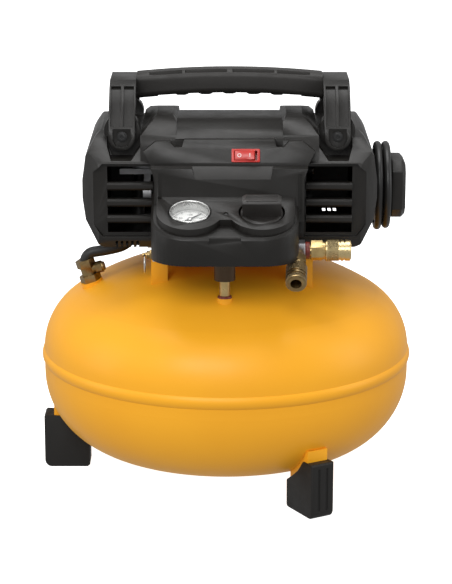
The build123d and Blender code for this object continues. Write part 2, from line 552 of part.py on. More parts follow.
COUPLER_HEX, COUPLER_END = (6.5, 18.5), 49.0
COUPLER_R, SLEEVE_R, MOUTH_R = 9.5, 11.3, 6.0
SLEEVE_START, SLEEVE_END = 21.8, 48.4
MOUTH_DEPTH = 20.0
for place, start, along, depth in (("side", SIDE_START, SIDE_AXIS, 9.0), ("front", FRONT_START, FRONT_AXIS, 2.4)):
    with BuildPart() as coupler_body:
        rod(moved(start, along, -depth), moved(start, along, COUPLER_HEX[0] + 1), NIPPLE_R)
        hexagon(moved(start, along, COUPLER_HEX[0]), moved(start, along, COUPLER_HEX[1]), 19)
        rod(moved(start, along, COUPLER_HEX[1] - 1), moved(start, along, COUPLER_END), COUPLER_R)
        floor_of_mouth = moved(start, along, COUPLER_END - MOUTH_DEPTH)
        rod(floor_of_mouth, moved(start, along, COUPLER_END + 1), MOUTH_R, Mode.SUBTRACT)
        rod(moved(start, along, -10), moved(start, along, COUPLER_END), 3.0, Mode.SUBTRACT)
    coupler_body.part.label = f"{place}_coupler_body"
    export_step(coupler_body.part, f"parts/{place}_coupler_body.step")

    with BuildPart() as coupler_sleeve:
        inner = COUPLER_R + RUN_FIT
        turned(start, along, [(inner, SLEEVE_START), (SLEEVE_R - 0.6, SLEEVE_START), (SLEEVE_R, SLEEVE_START + 0.6),
               (SLEEVE_R, 36.4), (SLEEVE_R - 1, 36.4), (SLEEVE_R - 1, 38.2), (SLEEVE_R, 38.2), (SLEEVE_R, 41.0),
               (SLEEVE_R - 1, 41.0), (SLEEVE_R - 1, 42.8), (SLEEVE_R, 42.8), (SLEEVE_R, SLEEVE_END - 0.6),
               (SLEEVE_R - 0.6, SLEEVE_END), (inner, SLEEVE_END)])
    coupler_sleeve.part.label = f"{place}_coupler_sleeve"
    export_step(coupler_sleeve.part, f"parts/{place}_coupler_sleeve.step")

STEM_R, PULL_RING_R, PULL_WIRE, PULL_HOLE = 2.2, 9.5, 0.7, 1.35
HOLE_X = MANIFOLD_LEFT - STEM_END + 2.4
OUTWARD = (-1, 0, 0)
with BuildPart() as relief_valve_body:
    rod(moved(RELIEF_START, OUTWARD, -9), moved(RELIEF_START, OUTWARD, 1), 3.2)
    hexagon(RELIEF_START, moved(RELIEF_START, OUTWARD, RELIEF_HEX), 10)
    rod(moved(RELIEF_START, OUTWARD, RELIEF_HEX), moved(RELIEF_START, OUTWARD, RELIEF_END), 4.4)
    inner_end = moved(RELIEF_START, OUTWARD, -7)
    rod(inner_end, moved(RELIEF_START, OUTWARD, RELIEF_END + 1), STEM_R + RUN_FIT, Mode.SUBTRACT)
relief_valve_body.part.label = "relief_valve_body"
export_step(relief_valve_body.part, "parts/relief_valve_body.step")

with BuildPart() as relief_valve_stem:
    rod(moved(RELIEF_START, OUTWARD, -6), moved(RELIEF_START, OUTWARD, STEM_END), STEM_R)
    hole_z = RELIEF_START[2]
    rod((HOLE_X, MANIFOLD_Y - 4, hole_z), (HOLE_X, MANIFOLD_Y + 4, hole_z), PULL_HOLE, Mode.SUBTRACT)
relief_valve_stem.part.label = "relief_valve_stem"
export_step(relief_valve_stem.part, "parts/relief_valve_stem.step")

with BuildPart() as relief_pull_ring:
    with Locations(Plane(origin=(HOLE_X, MANIFOLD_Y, RELIEF_START[2] - PULL_RING_R), z_dir=(1, 0, 0))):
        Torus(PULL_RING_R, PULL_WIRE)
relief_pull_ring.part.label = "relief_pull_ring"
export_step(relief_pull_ring.part, "parts/relief_pull_ring.step")

CHECK_MOUTH = BUNGS[1][0]
SIDE_PORT = moved(CHECK_MOUTH, CHECK_AXIS, 13)
HOSE_R, HOSE_SEAT = 6.2, 19.0


def tube(route, radii, radius):
    """A round tube along straight runs joined by arcs."""
    with BuildPart() as made:
        with BuildLine() as path:
            FilletPolyline(*route, radius=radii)
        with BuildSketch(Plane(origin=path.line @ 0, z_dir=path.line % 0)):
            Circle(radius)
        sweep(path=path.line)
    return made.part, path.wire().length


def corner_radii(route):
    """The largest arc that each corner's two runs allow; the end runs have no second corner to share with."""
    radii = []
    last = len(route) - 2
    for index in range(1, len(route) - 1):
        before = Vector(*route[index]) - Vector(*route[index - 1])
        after = Vector(*route[index + 1]) - Vector(*route[index])
        near_share = 0.95 if index == 1 else 0.47
        far_share = 0.95 if index == last else 0.47
        room = min(before.length * near_share, after.length * far_share)
        radii.append(room / tan(radians(before.get_angle(after) / 2)))
    return radii


HOSE_ROUTE = [moved(CHECK_MOUTH, CHECK_AXIS, HOSE_SEAT), moved(CHECK_MOUTH, CHECK_AXIS, 33), (-132.0, -12.0, 258.3),
              (-113.0, -8.0, 262.3), (-101.0, 2.0, 276.0), (-98.0, 10.0, 300.0), (-97.5, 8.0, 332.0),
              (PORT_X, PORT_Y, 356.0), (PORT_X, PORT_Y, CYLINDER_TOP - 9)]
hose, hose_length = tube(HOSE_ROUTE, corner_radii(HOSE_ROUTE), HOSE_R)
with BuildPart() as check_valve:
    rod(moved(CHECK_MOUTH, CHECK_AXIS, -9), CHECK_MOUTH, 6.0)
    hexagon(CHECK_MOUTH, moved(CHECK_MOUTH, CHECK_AXIS, 8), 21)
    rod(moved(CHECK_MOUTH, CHECK_AXIS, 7), moved(CHECK_MOUTH, CHECK_AXIS, 18), 8.0)
    hexagon(moved(CHECK_MOUTH, CHECK_AXIS, 17), moved(CHECK_MOUTH, CHECK_AXIS, 26), 19)
    rod(SIDE_PORT, moved(SIDE_PORT, (0.93, -0.20, 0.30), 20), 5.0)
    hexagon(moved(SIDE_PORT, (0.93, -0.20, 0.30), 11), moved(SIDE_PORT, (0.93, -0.20, 0.30), 18), 12)
    rod(moved(CHECK_MOUTH, CHECK_AXIS, -10), moved(CHECK_MOUTH, CHECK_AXIS, 27), 3.0, Mode.SUBTRACT)
    add(hose, mode=Mode.SUBTRACT)
check_valve.part.label = "check_valve"
export_step(check_valve.part, "parts/check_valve.step")

with BuildPart() as discharge_hose:
    add(hose)
discharge_hose.part.label = "discharge_hose"
export_step(discharge_hose.part, "parts/discharge_hose.step")
print("hose length", round(hose_length), "radii", [round(r, 1) for r in corner_radii(HOSE_ROUTE)])

# ---------------------------------------------------------------- shroud
WING_OUTLINE = [(-141, 288), (-156, 312), (-159.5, 335), (-159.5, 355), (-157.5, 368), (-155.5, 382), (-145, 401),
                (-139.5, 405.5), (139.5, 405.5), (145, 401), (155.5, 382), (157.5, 368), (159.5, 355), (159.5, 335),
                (156, 312), (141, 288), (135, 285), (-135, 285)]
WING_SIDE = [(-108, 285), (-112, 294), (-113, 373), (-110, 378), (-97, 387), (-84, 399), (-62, 405.5), (-4, 405.5),
             (60, 403), (94, 385), (106, 368), (107, 294), (103, 285)]
PLAN = [(-139.5, -113.5), (-159.5, -88), (-159.5, 82), (-139.5, 107.5), (139.5, 107.5), (159.5, 82), (159.5, -88),
        (139.5, -113.5)]
CENTRE_SIDE = [(-104, 340), (-104, 403), (-88, 411.5), (PARTING_Y, 417), (-8, 417), (40, 408), (78, 392), (98, 370),
               (98, 340)]
RIDGE_SIDE = [(-108, 340), (-108, 394), (-100, 407), (-80, 419), (PARTING_Y, 422), (-8, 422), (45, 412), (84, 393),
              (103, 368), (103, 340)]
RIDGE_OUTLINE = [(56, 330), (57, 417), (61.5, 422), (79, 422), (86, 416), (95.5, 405.5), (95.5, 330)]
REACH = 175.0


def drawn(plane, outline, inset, depth):
    """A prism of an outline drawn in by an inset, extruded both ways."""
    with BuildPart() as made:
        with BuildSketch(plane) as profile:
            with BuildLine():
                Polyline(*outline, close=True)
            make_face()
            if inset:
                offset(amount=-inset, kind=Kind.INTERSECTION)
        extrude(profile.sketch, amount=depth, both=True)
    return made.part


def shroud_volume(inset):
    """Everything inside the shroud's outer faces drawn in by an inset."""
    right = [(x + SHROUD_X, z) for x, z in RIDGE_OUTLINE]
    left = [(SHROUD_X - x, z) for x, z in RIDGE_OUTLINE]
    wing = [(x + SHROUD_X, z) for x, z in WING_OUTLINE]
    plan = [(x + SHROUD_X, y) for x, y in PLAN]
    pieces = [
        drawn(Plane.XZ, wing, inset, REACH) & drawn(Plane.YZ, WING_SIDE, inset, REACH + 10)
        & drawn(Plane.XY, plan, inset, 600),
        drawn(Plane.YZ.offset(SHROUD_X), CENTRE_SIDE, inset, 58 - inset),
    ]
    for outline in (left, right):
        pieces.append(drawn(Plane.XZ, outline, inset, REACH) & drawn(Plane.YZ, RIDGE_SIDE, inset, REACH))
    whole = pieces[0]
    for piece in pieces[1:]:
        whole = whole + piece
    return whole


WINDOW_DEPTH = 9.0
WINDOW = [(80, 377), (136.5, 377), (146.5, 367), (146.5, 309), (136.5, 297.5), (80, 297.5)]
POCKET = [(15.8, 440), (15.8, 392), (11, 379.5), (-10.5, 379.5), (-20.5, 392), (-20.5, 440)]
POCKET_FRONT, POCKET_REAR = -74.0, 47.0


def hollows(inset):
    """The recesses in the shroud's faces, grown by an inset: windows, and pockets for the handle's legs."""
    cuts = []
    for side in (-1, 1):
        window = [(SHROUD_X + side * x, z) for x, z in WINDOW]
        pocket = [(SHROUD_X + side * (SADDLE_X + x), z) for x, z in POCKET]
        back = -113.0 + WINDOW_DEPTH + inset
        for outline, y0, y1 in ((window, -140.0, back), (pocket, -140.0, POCKET_FRONT + inset),
                                (pocket, POCKET_REAR - inset, 140.0)):
            with BuildPart() as cut:
                with BuildSketch(Plane.XZ.offset(-y1)) as profile:
                    with BuildLine():
                        Polyline(*outline, close=True)
                    make_face()
                    if inset:
                        offset(amount=inset, kind=Kind.INTERSECTION)
                extrude(profile.sketch, amount=y1 - y0)
            cuts.append(cut.part)
    return cuts


shroud_outer = shroud_volume(0)
shroud_inner = shroud_volume(COVER_WALL)
for cut in hollows(0):
    shroud_outer = shroud_outer - cut
for cut in hollows(COVER_WALL):
    shroud_inner = shroud_inner - cut
print("shroud solids", len(shroud_outer.solids()), len(shroud_inner.solids()))
BOSS_R, BOSS_Z = 19.4, 406.5
ARCH = [(-89, 380), (-89, 405), (-73, 432), (-56, 449), (-40, 456)]
ARCH_INNER = [(-77, 380), (-77, 404), (-62, 428), (-48, 440)]
LEG_GAP = 0.8


def mirrored(points):
    """Points of a Y-Z outline with their mirror images about the handle's middle, going round."""
    return points + [(2 * HANDLE_Y - y, z) for y, z in reversed(points)]


def leg_cuts():
    """Room for the handle's four legs against the bosses they are bolted to."""
    leg = ARCH + ARCH_INNER[::-1]
    for side in (-1, 1):
        leg_x = SHROUD_X + side * SADDLE_X
        reach = SADDLE_WIDTH / 2 + LEG_GAP
        for outline in (leg, [(2 * HANDLE_Y - y, z) for y, z in leg]):
            across_x(outline, leg_x - reach, leg_x + reach, Mode.SUBTRACT)


SLAT_Z = (316.0, 334.0, 352.0)
SLAT_HALF = 4.25
FLOOR_Y = -113.0 + WINDOW_DEPTH
BOLT_R = 3.0
BOTTOM_OPENING = (-72.0, 82.0, -66.0, 78.0)
HOSE_GAP = (-112.0, -86.0, -7.0, 18.0)  # where the discharge hose comes up through the shroud's floor
FLOOR_SLOTS = (111.0, 117.2, 123.4)


def side_grooves():
    """Rows of shallow grooves along both side walls."""
    for row in range(13):
        groove_z = 302.5 + row * 5.3
        for side in (-1, 1):
            wall_x = SHROUD_X + side * SHROUD_HALF
            depth = 3.6 if row in (0, 1, 12) else 1.6
            inner, outer = sorted((wall_x - side * depth, wall_x + side * 2))
            block((inner, -84, groove_z), (outer, 78, groove_z + 2.4), Mode.SUBTRACT)


def floor_hole(edges):
    """A rectangular hole through the shroud's floor."""
    left, right, front, back = edges
    block((left, front, 280), (right, back, 292), Mode.SUBTRACT)


with BuildPart() as front_cover:
    add(shroud_outer)
    for side in (-1, 1):
        leg_x = SHROUD_X + side * SADDLE_X
        rod((leg_x, POCKET_FRONT - 3, BOSS_Z), (leg_x, POCKET_FRONT + 14, BOSS_Z), BOSS_R)
    add(shroud_inner, mode=Mode.SUBTRACT)
    for side in (-1, 1):
        leg_x = SHROUD_X + side * SADDLE_X
        rod((leg_x, POCKET_FRONT - 2, HANDLE_BOLT_Z), (leg_x, POCKET_FRONT + 9, HANDLE_BOLT_Z), 8)
        rod((leg_x, POCKET_FRONT - 9, HANDLE_BOLT_Z), (leg_x, POCKET_FRONT + 8, HANDLE_BOLT_Z), BOLT_R,
            Mode.SUBTRACT)
        near, far = sorted((SHROUD_X + side * 82, SHROUD_X + side * 131.5))
        levels = [300.5] + [z + step for z in SLAT_Z for step in (-SLAT_HALF, SLAT_HALF)] + [373.0]
        for low, high in zip(levels[::2], levels[1::2]):
            block((near, FLOOR_Y - 1, low), (far, FLOOR_Y + 8, high), Mode.SUBTRACT)
        for slat_z in SLAT_Z:
            slat = [(FLOOR_Y, -SLAT_HALF), (FLOOR_Y - 4.5, -SLAT_HALF), (FLOOR_Y - 6.5, -2.2),
                    (FLOOR_Y - 6.5, 2.2), (FLOOR_Y - 4.5, SLAT_HALF), (FLOOR_Y, SLAT_HALF)]
            slat = [(y, slat_z + z) for y, z in slat]
            across_x(slat, near, far)
    floor_hole(BOTTOM_OPENING)
    side_grooves()
    leg_cuts()
    block((7, -114, 374), (38, -98, 399), Mode.SUBTRACT)
    for slot in range(5):
        slot_x = -119 + slot * 5.6
        block((slot_x, -120, 284), (slot_x + 2.6, -100, 292.5), Mode.SUBTRACT)
    block((-200, PARTING_Y, 200), (220, 200, 500), Mode.SUBTRACT)
front_shell = front_cover.part.solids().sort_by(SortBy.VOLUME)[-1]
print("front cover solids", [round(piece.volume) for piece in front_cover.part.solids()])
front_shell.label = "front_cover"
export_step(front_shell, "parts/front_cover.step")

REAR_FACE = 107.0
REAR_VENT_Z = [306.0 + 9.0 * row for row in range(6)]
PLUG_START, PLUG_Y, PLUG_Z = 130.0, 127.0, 341.0  # the back end of the plug, parked behind the rear cover
CLIP_X = (96.0, 111.0)
GLAND_X, GLAND_Y, GLAND_Z = 170.0, 82.0, 290.0
with BuildPart() as rear_cover:
    add(shroud_outer)
    for side in (-1, 1):
        leg_x = SHROUD_X + side * SADDLE_X
        rod((leg_x, POCKET_REAR - 14, BOSS_Z), (leg_x, POCKET_REAR + 3, BOSS_Z), BOSS_R)
    add(shroud_inner, mode=Mode.SUBTRACT)
    for side in (-1, 1):
        leg_x = SHROUD_X + side * SADDLE_X
        rod((leg_x, POCKET_REAR - 9, HANDLE_BOLT_Z), (leg_x, POCKET_REAR + 2, HANDLE_BOLT_Z), 8)
        rod((leg_x, POCKET_REAR - 8, HANDLE_BOLT_Z), (leg_x, POCKET_REAR + 9, HANDLE_BOLT_Z), BOLT_R,
            Mode.SUBTRACT)
    floor_hole(BOTTOM_OPENING)
    floor_hole(HOSE_GAP)
    for slot_x in FLOOR_SLOTS:
        floor_hole((slot_x, slot_x + 4.2, 54.0, 80.0))
    side_grooves()
    leg_cuts()
    for vent_z in REAR_VENT_Z:
        for x0, x1 in ((-72, -28), (-22, 22), (28, 72)):
            block((x0, REAR_FACE - 8, vent_z), (x1, REAR_FACE + 4, vent_z + 4.5), Mode.SUBTRACT)
    for clip_x in CLIP_X:
        block((clip_x, REAR_FACE - 2, PLUG_Z - 17), (clip_x + 4, PLUG_Y + 14, PLUG_Z - 13))
        block((clip_x, PLUG_Y + 11, PLUG_Z - 13.5), (clip_x + 4, PLUG_Y + 14, PLUG_Z - 5))
    boss = [(150, GLAND_Y), (177, GLAND_Y), (177, GLAND_Y + 6), (157, GLAND_Y + 16), (147, GLAND_Y + 16)]
    across_z(boss, GLAND_Z - 9, GLAND_Z + 9)
    rod((GLAND_X, GLAND_Y - 1, GLAND_Z), (GLAND_X, GLAND_Y + 5, GLAND_Z), 5.4, Mode.SUBTRACT)
    block((-200, -200, 200), (220, PARTING_Y + 0.8, 500), Mode.SUBTRACT)
rear_shell = rear_cover.part.solids().sort_by(SortBy.VOLUME)[-1]
print("rear cover solids", [round(piece.volume) for piece in rear_cover.part.solids()])
rear_shell.label = "rear_cover"
export_step(rear_shell, "parts/rear_cover.step")

# ---------------------------------------------------------------- console
CONSOLE_WALL = 2.5
SKIRT_BOTTOM, SKIRT_FRONT = 287.0, -201.0
SKIRT_LEFT, SKIRT_RIGHT, SKIRT_ROUND = -79.0, 77.0, 40.0
LEDGE = 8.0
LOBE_R = 35.0
GROOVE_HALF = 1.8
BRIDGE_FRONT = -15.5
NOTCH_FACE = [(-21, 307.5), (-17.5, 314), (-17.5, 319), (15.5, 319), (15.5, 314), (19.4, 307.5)]
NOTCH_SIDE = [(-202, 307), (-199.3, 313.4), (-199.3, 319), (-202, 319)]
GAUGE_HOLE_R, KNOB_WELL_R = 22.8, 24.4
FRAME_OUTLINE = [(-76, 320), (-76, 366), (-80, 377), (-88, 391.7), (-75, 401.5), (-60, 401.5), (-55, 396),
                 (-47, 396), (-44.5, 403.5), (51.5, 403.5), (54, 396), (62, 396), (67, 401.5), (82, 401.5),
                 (95, 391.7), (87, 377), (83, 366), (83, 320)]
CONSOLE_SIDE = [(-95, 404), (-111, 404), (-112, 401), (-122, 380), (-122, 377.5), (-135, 376.5), (-138, 347),
                (-138, 320), (-95, 320)]


def deck_height(y, lift=0.0):
    """Height of the deck, or of a surface lifted off it, at a Y."""
    return DECK_Z + (y - DECK_Y) * tan(radians(DECK_TILT)) + lift / DECK_COS


def skirt_plan(inset):
    left, right, front = SKIRT_LEFT + inset, SKIRT_RIGHT - inset, SKIRT_FRONT + inset
    bend = SKIRT_ROUND - inset
    Polyline((left, front + bend), (left, -100), (right, -100), (right, front + bend))
    RadiusArc((right, front + bend), (right - bend, front), bend)
    Line((right - bend, front), (left + bend, front))
    RadiusArc((left + bend, front), (left, front + bend), bend)


def lobes(radius):
    """The deck's raised platform: two round lobes and the bridge between them."""
    with Locations((GAUGE_X, 0), (KNOB_X, 0)):
        Circle(radius)
    with Locations(((GAUGE_X + KNOB_X) / 2, 18)):
        Rectangle(KNOB_X - GAUGE_X + 2 * radius, 36)
    inset = LOBE_R - radius
    front = BRIDGE_FRONT + inset
    Polygon((GAUGE_X, 0), (GAUGE_X, -20), (GAUGE_X + 22, -26 + inset), (-18 - inset, front), (17 + inset, front),
            (KNOB_X - 22, -26 + inset), (KNOB_X, -20), (KNOB_X, 0), align=None)


DECK_PLANE = Plane(origin=on_deck(0), x_dir=(1, 0, 0), z_dir=DECK_NORMAL)


def console_volume(inset):
    """The console's outer volume drawn in by an inset."""
    with BuildPart() as upper:
        with BuildSketch(Plane.XZ) as face:
            with BuildLine():
                Polyline(*FRAME_OUTLINE, close=True)
            make_face()
            if inset:
                offset(amount=-inset, kind=Kind.INTERSECTION)
        extrude(face.sketch, amount=REACH, both=True)
        with BuildSketch(Plane.YZ) as section:
            with BuildLine():
                Polyline(*CONSOLE_SIDE, close=True)
            make_face()
            if inset:
                offset(amount=-inset, kind=Kind.INTERSECTION)
        extrude(section.sketch, amount=REACH, both=True, mode=Mode.INTERSECT)
        wedge = [(-122 + inset, 380 - inset), (-136.1 + inset, 365.6 - inset), (-150, 365.6 - inset), (-150, 390)]
        with BuildSketch(Plane.YZ) as facet:
            with BuildLine():
                Polyline(*wedge, close=True)
            make_face()
        trapezoid = [(-38.6 - inset, 388), (-32.6 - inset, 364), (46.8 + inset, 364), (52.7 + inset, 388)]
        with BuildSketch(Plane.XZ) as gate:
            with BuildLine():
                Polyline(*trapezoid, close=True)
            make_face()
    notch = extrude(facet.sketch, amount=REACH, both=True, mode=Mode.PRIVATE) & extrude(
        gate.sketch, amount=REACH, both=True, mode=Mode.PRIVATE)
    with BuildPart() as lower:
        with BuildSketch(Plane.XY.offset(SKIRT_BOTTOM - (5 if inset else 0))) as plan:
            with BuildLine():
                skirt_plan(inset)
            make_face()
        extrude(plan.sketch, amount=80)
        ledge = LEDGE + inset
        above = [(-260, deck_height(-260, -ledge)), (-90, deck_height(-90, -ledge)), (-90, 450), (-260, 450)]
        across_x(above, -120, 120, Mode.SUBTRACT)
        if not inset:
            chamfer(lower.faces().filter_by(GeomType.PLANE).sort_by(Axis.Z)[-1].edges(), 2.5)
    with BuildPart() as platform:
        with BuildSketch(DECK_PLANE.offset(-inset)) as shape:
            lobes(LOBE_R - inset)
        extrude(shape.sketch, amount=-(LEDGE + 3 if not inset else LEDGE + 6))
    return (upper.part - notch) + lower.part + platform.part


SWITCH_TILT = degrees(acos(21.0 / sqrt(21.0**2 + 10.0**2)))
SWITCH_NORMAL = (0, -cos(radians(SWITCH_TILT)), sin(radians(SWITCH_TILT)))
SWITCH_UP = (0, sin(radians(SWITCH_TILT)), cos(radians(SWITCH_TILT)))
SWITCH_CENTRE = (21.0, -118.5, 387.4)
SWITCH_PLANE = Plane(origin=SWITCH_CENTRE, x_dir=(1, 0, 0), z_dir=SWITCH_NORMAL)
BEZEL_X, BEZEL_Z, OPEN_X, OPEN_Z = 30.2, 14.4, 24.4, 10.6
ROCKER_TILT = 8.0
PIVOT_DEPTH = -5.0

console_outer = console_volume(0)
console_inner = console_volume(CONSOLE_WALL)
shroud_block = shroud_volume(0)
with BuildPart() as control_console:
    add(console_outer)
    add(console_inner, mode=Mode.SUBTRACT)
    rod(on_deck(GAUGE_X, 0, -20), on_deck(GAUGE_X, 0, 5), GAUGE_HOLE_R, Mode.SUBTRACT)
    rod(on_deck(KNOB_X, 0, -20), on_deck(KNOB_X, 0, 5), KNOB_WELL_R, Mode.SUBTRACT)
    for groove_x in (-70.0, 78.0):
        groove = [(-142, 330), (-142, 371), (-134.4, 371), (-136.8, 347), (-136.8, 330)]
        across_x(groove, groove_x - GROOVE_HALF, groove_x + GROOVE_HALF, Mode.SUBTRACT)
    rod(on_deck(0, -3, -1.8), on_deck(0, -3, 1), 2.6, Mode.SUBTRACT)
    add(drawn(Plane.XZ, NOTCH_FACE, 0, 210) & drawn(Plane.YZ, NOTCH_SIDE, 0, 40), mode=Mode.SUBTRACT)
    block((-90, MANIFOLD_Y - 12, 280), (90, MANIFOLD_Y + 12, MANIFOLD_Z + 12), Mode.SUBTRACT)
    block((-20, -112, 340), (60, -100, 398), Mode.SUBTRACT)
    with BuildSketch(SWITCH_PLANE.offset(-30)) as switch_hole:
        Rectangle(OPEN_X + 2.8, OPEN_Z + 2.6)
    extrude(switch_hole.sketch, amount=35, mode=Mode.SUBTRACT)
    rod(moved(FRONT_START, FRONT_AXIS, -2), moved(FRONT_START, FRONT_AXIS, 60), 13.0, Mode.SUBTRACT)
    add(shroud_block, mode=Mode.SUBTRACT)
console_solid = control_console.part.solids().sort_by(SortBy.VOLUME)[-1]
print("console solids", [round(piece.volume) for piece in control_console.part.solids()])
console_solid.label = "control_console"
export_step(console_solid, "parts/control_console.step")

# ---------------------------------------------------------------- gauge and regulator knob
CASE_R, CASE_BORE = 22.0, 19.5
DIAL_LIFT = -10.0
NEEDLE_ANGLE = 41.0  # the needle's heading at rest, from +X towards the back

with BuildPart() as gauge_case:
    turned(on_deck(GAUGE_X), DECK_NORMAL, [(0, -22), (16, -22), (CASE_R, -17), (CASE_R, 0.4), (CASE_R - 1.0, 1.4),
           (CASE_BORE + 0.6, 1.4), (CASE_BORE, 0.8), (CASE_BORE, DIAL_LIFT - 1.5), (0, DIAL_LIFT - 1.5)])
    rod(on_deck(GAUGE_X, 0, -47), on_deck(GAUGE_X, 0, -21), 5.0)
    hexagon(on_deck(GAUGE_X, 0, -34), on_deck(GAUGE_X, 0, -27), 13)
    rod(on_deck(GAUGE_X, 0, DIAL_LIFT - 2), on_deck(GAUGE_X, 0, DIAL_LIFT + 2.4), 0.8)
gauge_case.part.label = "gauge_case"
export_step(gauge_case.part, "parts/gauge_case.step")

with BuildPart() as gauge_dial:
    turned(on_deck(GAUGE_X), DECK_NORMAL, [(0.8, DIAL_LIFT - 1.5), (CASE_BORE, DIAL_LIFT - 1.5),
           (CASE_BORE, DIAL_LIFT - 0.5), (0.8, DIAL_LIFT - 0.5)])
gauge_dial.part.label = "gauge_dial"
export_step(gauge_dial.part, "parts/gauge_dial.step")

with BuildPart() as gauge_needle:
    needle_plane = Plane(origin=on_deck(GAUGE_X, 0, DIAL_LIFT + 0.6), x_dir=(1, 0, 0), z_dir=DECK_NORMAL)
    with BuildSketch(needle_plane) as pointer:
        Circle(2.6)
        Polygon((-6, -1.1), (0, -0.9), (15.5, -0.25), (15.5, 0.25), (0, 0.9), (-6, 1.1), align=None,
                rotation=NEEDLE_ANGLE)
        Circle(0.85, mode=Mode.SUBTRACT)
    extrude(pointer.sketch, amount=0.9)
gauge_needle.part.label = "gauge_needle"
export_step(gauge_needle.part, "parts/gauge_needle.step")

with BuildPart() as gauge_lens:
    turned(on_deck(GAUGE_X), DECK_NORMAL, [(0, -2.6), (CASE_BORE, -2.6), (CASE_BORE, -0.9), (12, -0.5), (0, -0.4)])
gauge_lens.part.label = "gauge_lens"
export_step(gauge_lens.part, "parts/gauge_lens.step")

KNOB_BASE_R, KNOB_GRIP = 22.6, (41.0, 17.0, 17.5)
with BuildPart() as regulator_knob:
    turned(on_deck(KNOB_X), DECK_NORMAL, [(0, -8), (KNOB_BASE_R - 1, -8), (KNOB_BASE_R, -7), (KNOB_BASE_R, -1.2),
           (KNOB_BASE_R - 1.2, 0), (KNOB_BASE_R - 3.6, 0), (KNOB_BASE_R - 4.2, -1.6), (0, -1.6)])
    long, wide, tall = KNOB_GRIP
    grip_side = [(-wide / 2, -3), (-wide / 2, tall - 3), (-wide / 2 + 2.5, tall), (wide / 2 - 1, tall - 1),
                 (wide / 2, tall - 4), (wide / 2, -3)]
    end_plane = Plane(origin=on_deck(KNOB_X - long / 2), x_dir=(0, DECK_COS, DECK_SIN), z_dir=(1, 0, 0))
    with BuildSketch(end_plane) as side_view:
        Polygon(*grip_side, align=None)
    extrude(side_view.sketch, amount=long)
    end_faces = regulator_knob.faces().filter_by(Axis.X)
    chamfer([end.edges().sort_by(Axis.Z)[-1] for end in end_faces.sort_by(Axis.X)[:: len(end_faces) - 1]], 3.5)
    for rib in range(6):
        rib_y = -wide / 2 + 2.2 + rib * 2.2
        low = on_deck(KNOB_X - long / 2 + 4, rib_y, tall - 0.5)
        high = on_deck(KNOB_X + long / 2 - 4, rib_y, tall - 0.5)
        rod(low, high, 0.55)
    rod(on_deck(KNOB_X, 0, -22), on_deck(KNOB_X, 0, -7), 4.0)
regulator_knob.part.label = "regulator_knob"
export_step(regulator_knob.part, "parts/regulator_knob.step")

# ---------------------------------------------------------------- power switch
with BuildPart() as switch_bezel:
    with BuildSketch(SWITCH_PLANE.offset(-13)) as body_shape:
        Rectangle(OPEN_X + 2.6, OPEN_Z + 2.4)
    extrude(body_shape.sketch, amount=13)
    with BuildSketch(SWITCH_PLANE) as rim_shape:
        RectangleRounded(BEZEL_X, BEZEL_Z, 1.2)
    extrude(rim_shape.sketch, amount=2.2)
    with BuildSketch(SWITCH_PLANE.offset(-11)) as opening_shape:
        Rectangle(OPEN_X, OPEN_Z)
    extrude(opening_shape.sketch, amount=15, mode=Mode.SUBTRACT)
switch_bezel.part.label = "switch_bezel"
export_step(switch_bezel.part, "parts/switch_bezel.step")

with BuildPart() as switch_rocker:
    swing = radians(-ROCKER_TILT)
    profile_points = [(-9.2, -4.0), (-10.9, 1.0), (-10.5, 4.4), (0, 3.0), (10.5, 4.4), (10.9, 1.0), (9.2, -4.0),
                      (2, -8.5), (-2, -8.5)]
    leaned = []
    for x, z in profile_points:
        over = z - PIVOT_DEPTH
        leaned.append((x * cos(swing) + over * sin(swing), over * cos(swing) - x * sin(swing) + PIVOT_DEPTH))
    rocker_plane = Plane(origin=moved(SWITCH_CENTRE, SWITCH_UP, OPEN_Z / 2 - 0.3), x_dir=(1, 0, 0),
                         z_dir=tuple(-value for value in SWITCH_UP))
    with BuildSketch(rocker_plane) as rocker_shape:
        outward = 1 if rocker_plane.y_dir.dot(Vector(*SWITCH_NORMAL)) > 0 else -1
        Polygon(*[(x, outward * z) for x, z in leaned], align=None)
    extrude(rocker_shape.sketch, amount=OPEN_Z - 0.6)
switch_rocker.part.label = "switch_rocker"
export_step(switch_rocker.part, "parts/switch_rocker.step")

with BuildPart() as pressure_switch:
    block((-14, -98, 350), (44, -72, 396))
    block((-8, -99.5, 356), (38, -97, 390))
    rod((-2, -85, 344), (-2, -85, 350), 6)
    rod((30, -85, 344), (30, -85, 350), 5)
pressure_switch.part.label = "pressure_switch"
export_step(pressure_switch.part, "parts/pressure_switch.step")

# ---------------------------------------------------------------- handle
CHANNELS = [(-12.2, -1.6), (1.6, 12.2)]
GRIP_ENDS_Z, GRIP_MID_Z = 446.0, 451.6
GRIP_DEPTH, GRIP_HEIGHT = 33.0, 27.4


